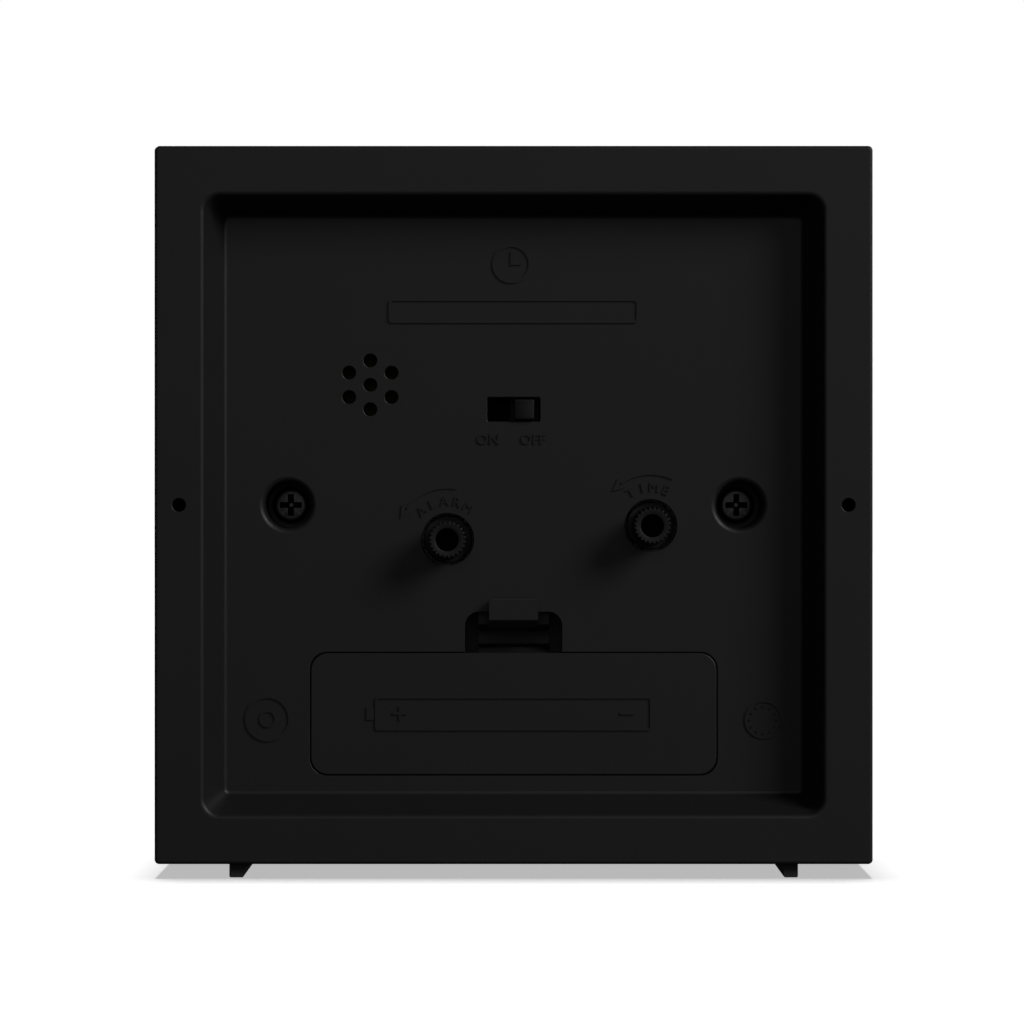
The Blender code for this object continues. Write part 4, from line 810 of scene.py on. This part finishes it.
# A plain clock face and a blank name strip above the grille
face = frame_at(0.3, ROOT, 33.9, True)
marks.append(flat(circle(2.7, 48), MARK_T, face, [circle(2.4, 48)]))
marks.append(flat(rectangle(-0.13, 0.13, -0.15, 1.7), MARK_T, face))
marks.append(flat(rectangle(0.2, 1.35, -0.13, 0.13), MARK_T, face))
strip = frame_at(0.0, ROOT, 27.3, True)
marks.append(flat(rounded(17.6, 1.7, 0.6), MARK_T, strip, [rounded(17.3, 1.4, 0.4)]))
# Mould date wheel and plain ring beside the door
wheel = frame_at(-35.2, ROOT, -30.2, True)
marks.append(flat(circle(2.7, 48), MARK_T, wheel, [circle(2.45, 48)]))
for k in range(12):
    turn = math.radians(30.0 * k)
    dot = circle(0.17, 10, (1.9 * math.cos(turn), 1.9 * math.sin(turn)))
    marks.append(flat(dot, MARK_T, wheel))
ring = frame_at(34.6, ROOT, -30.1, True)
marks.append(flat(circle(3.2, 48), MARK_T, ring, [circle(2.9, 48)]))
marks.append(flat(circle(1.2, 32), MARK_T, ring, [circle(0.95, 32)]))
piece("raised_labels", mesh_of("marks", marks), "case", ink_raised, smooth=30.0)
# Cell outline with its poles on the door
door_marks = []
cell_at = frame_at(0.0, ROOT, -29.35, True)
door_marks.append(flat(rounded(19.5, 2.4, 0.5), MARK_T, cell_at, [rounded(19.2, 2.1, 0.3)]))
door_marks.append(flat(rectangle(-20.7, -19.7, -0.9, 0.9), MARK_T, cell_at))
door_marks.append(flat(rectangle(15.0, 17.0, -0.15, 0.15), MARK_T, cell_at))
cross_mark = [(-1.0, 0.15), (-1.0, -0.15), (-0.15, -0.15), (-0.15, -1.0), (0.15, -1.0), (0.15, -0.15),
              (1.0, -0.15), (1.0, 0.15), (0.15, 0.15), (0.15, 1.0), (-0.15, 1.0), (-0.15, 0.15)]
door_marks.append(flat([(x - 16.0, z) for x, z in cross_mark], MARK_T, cell_at))
piece("door_polarity_mark", mesh_of("door_marks", door_marks), "battery_door", ink_raised, smooth=30.0)

# Dial: minute track, hour bars and numerals printed on the face
DIAL_FACE = -10.1
PRINT_T = 0.06
TRACK_R = 41.4
HOUR_BAR, MINUTE_BAR = (38.2, 0.45), (39.9, 0.14)
NUMERAL_R, NUMERAL_H = 32.6, 6.2


def bar_end(reach, wide, turn, sides):
    """Two corners of a bar, either side of a ray from the middle of the dial."""
    return [(reach * math.sin(turn) + side * wide * math.cos(turn),
             reach * math.cos(turn) - side * wide * math.sin(turn)) for side in sides]


printed = []
print_y = DIAL_FACE + 0.01
for k in range(60):
    turn = math.radians(6.0 * k)
    inner, wide = HOUR_BAR if k % 5 == 0 else MINUTE_BAR
    bar = bar_end(inner, wide, turn, (-1, 1)) + bar_end(TRACK_R, wide, turn, (1, -1))
    printed.append(flat(bar, PRINT_T, frame_at(0.0, print_y, 0.0, False)))
for hour in range(1, 13):
    turn = math.radians(30.0 * hour)
    place = frame_at(NUMERAL_R * math.sin(turn), print_y, NUMERAL_R * math.cos(turn), False)
    printed.append(letters(str(hour), NUMERAL_H, PRINT_T, place))
piece("dial_numerals", mesh_of("printed", printed), "case", ink_black, smooth=30.0)

# ---------------------------------------------------------------- stage, lights, camera
floor_mesh = bpy.data.meshes.new("floor")
floor_mesh.from_pydata([(-4, -4, 0), (4, -4, 0), (4, 4, 0), (-4, 4, 0)], [], [(0, 1, 2, 3)])
floor = bpy.data.objects.new("floor", floor_mesh)
bpy.context.scene.collection.objects.link(floor)
f = Nodes("floor_white")
f.link(f.mix(f.noise(40.0), (0.90, 0.90, 0.90), (0.92, 0.92, 0.92)), f.shader.inputs["Base Color"])
f.shader.inputs["Roughness"].default_value = 1.0
f.shader.inputs["Emission Color"].default_value = (1.0, 1.0, 1.0, 1.0)
f.shader.inputs["Emission Strength"].default_value = 0.48
f.shader.inputs["Specular IOR Level"].default_value = 0.0
floor_mesh.materials.append(f.material)
floor.visible_diffuse = False
floor.visible_glossy = False

centre = Vector((0.0, 0.0, MID_Z * MM))


def area(name, away, where, size, power):
    """Disk light aimed at the middle of the case; the floor is left out of its light."""
    light = bpy.data.lights.new(name, "AREA")
    light.shape = "DISK"
    light.size = size
    light.energy = power
    item = bpy.data.objects.new(name, light)
    bpy.context.scene.collection.objects.link(item)
    way = Vector(where).normalized()
    item.location = centre + way * away
    item.rotation_mode = "QUATERNION"
    item.rotation_quaternion = way.to_track_quat("Z", "Y")
    group = bpy.data.collections.new(name + "_group")
    item.light_linking.receiver_collection = group
    group.objects.link(floor)
    group.collection_objects[0].light_linking.link_state = "EXCLUDE"


area("key", 1.5, (-0.68, 0.55, 0.49), 0.68, 10.3)
area("fill", 1.2, (0.0, 1.0, 0.28), 0.8, 0.6)
area("front_key", 0.9, (0.5, -0.8, 0.6), 0.45, 10.0)
area("front_fill", 1.0, (-0.8, -0.7, 0.2), 0.6, 4.0)

overhead = bpy.data.lights.new("overhead", "SUN")
overhead.energy = 2.1
overhead.angle = math.radians(9.0)
above = bpy.data.objects.new("overhead", overhead)
bpy.context.scene.collection.objects.link(above)
above.rotation_mode = "QUATERNION"
above.rotation_quaternion = Vector((0.0, -0.045, 1.0)).to_track_quat("Z", "Y")
floor_only = bpy.data.collections.new("overhead_group")
above.light_linking.receiver_collection = floor_only
floor_only.objects.link(floor)

world = bpy.data.worlds.new("studio")
bpy.context.scene.world = world
world.use_nodes = True
tree = world.node_tree
back = tree.nodes["Background"]
path = tree.nodes.new("ShaderNodeLightPath")
level = tree.nodes.new("ShaderNodeMapRange")
level.inputs["To Min"].default_value = 0.02
level.inputs["To Max"].default_value = 1.0
tree.links.new(path.outputs["Is Camera Ray"], level.inputs["Value"])
tree.links.new(level.outputs["Result"], back.inputs["Strength"])
back.inputs["Color"].default_value = (1.0, 1.0, 1.0, 1.0)

camera = bpy.data.cameras.new("camera")
camera.lens = 151.6
camera.sensor_width = 36.0
camera.shift_x = -0.001611328125
camera.shift_y = -0.0068359375
camera.clip_start = 0.01
camera.clip_end = 20.0
eye = bpy.data.objects.new("camera", camera)
bpy.context.scene.collection.objects.link(eye)
eye.location = (0.0, 0.620, MID_Z * MM)
eye.rotation_mode = "QUATERNION"
eye.rotation_quaternion = Vector((0.0, 1.0, 0.0)).to_track_quat("Z", "Y")
bpy.context.scene.camera = eye
scene = bpy.context.scene
scene.view_settings.view_transform = "Standard"
scene.view_settings.look = "None"

# ---------------------------------------------------------------- carried over nodes
finishes = {
    "black_plastic": trim_black, "dial_print": white_print, "clear_lens": lens_clear,
    "natural_plastic": natural, "hand_black": black_lacquer, "hand_red": red_lacquer,
    "hand_gold": gold_lacquer, "screw_black": screw_black, "bright_steel": steel, "brass": brass,
    "copper_winding": copper, "board": board, "chip": chip_resin, "magnet": magnet, "cell_wrap": wrap,
    "wire_red": red_wire, "wire_black": black_wire, "ceramic": ceramic,
}
# The switch body and the shafts take the painted-shade near-black; the piezo disc takes the very dark brass
special = {
    "piezo_disc": piezo_brass, "switch_body": pit_painted_shade, "time_shaft": pit_painted_shade, "alarm_shaft": pit_painted_shade,
}
slots = {part["node"]: part["material_slot"] for part in frame["record"].get("subparts", [])}
for name, item in frame["nodes"].items():
    item.data.materials.clear()
    item.data.materials.append(special.get(name, finishes[slots[name]]))
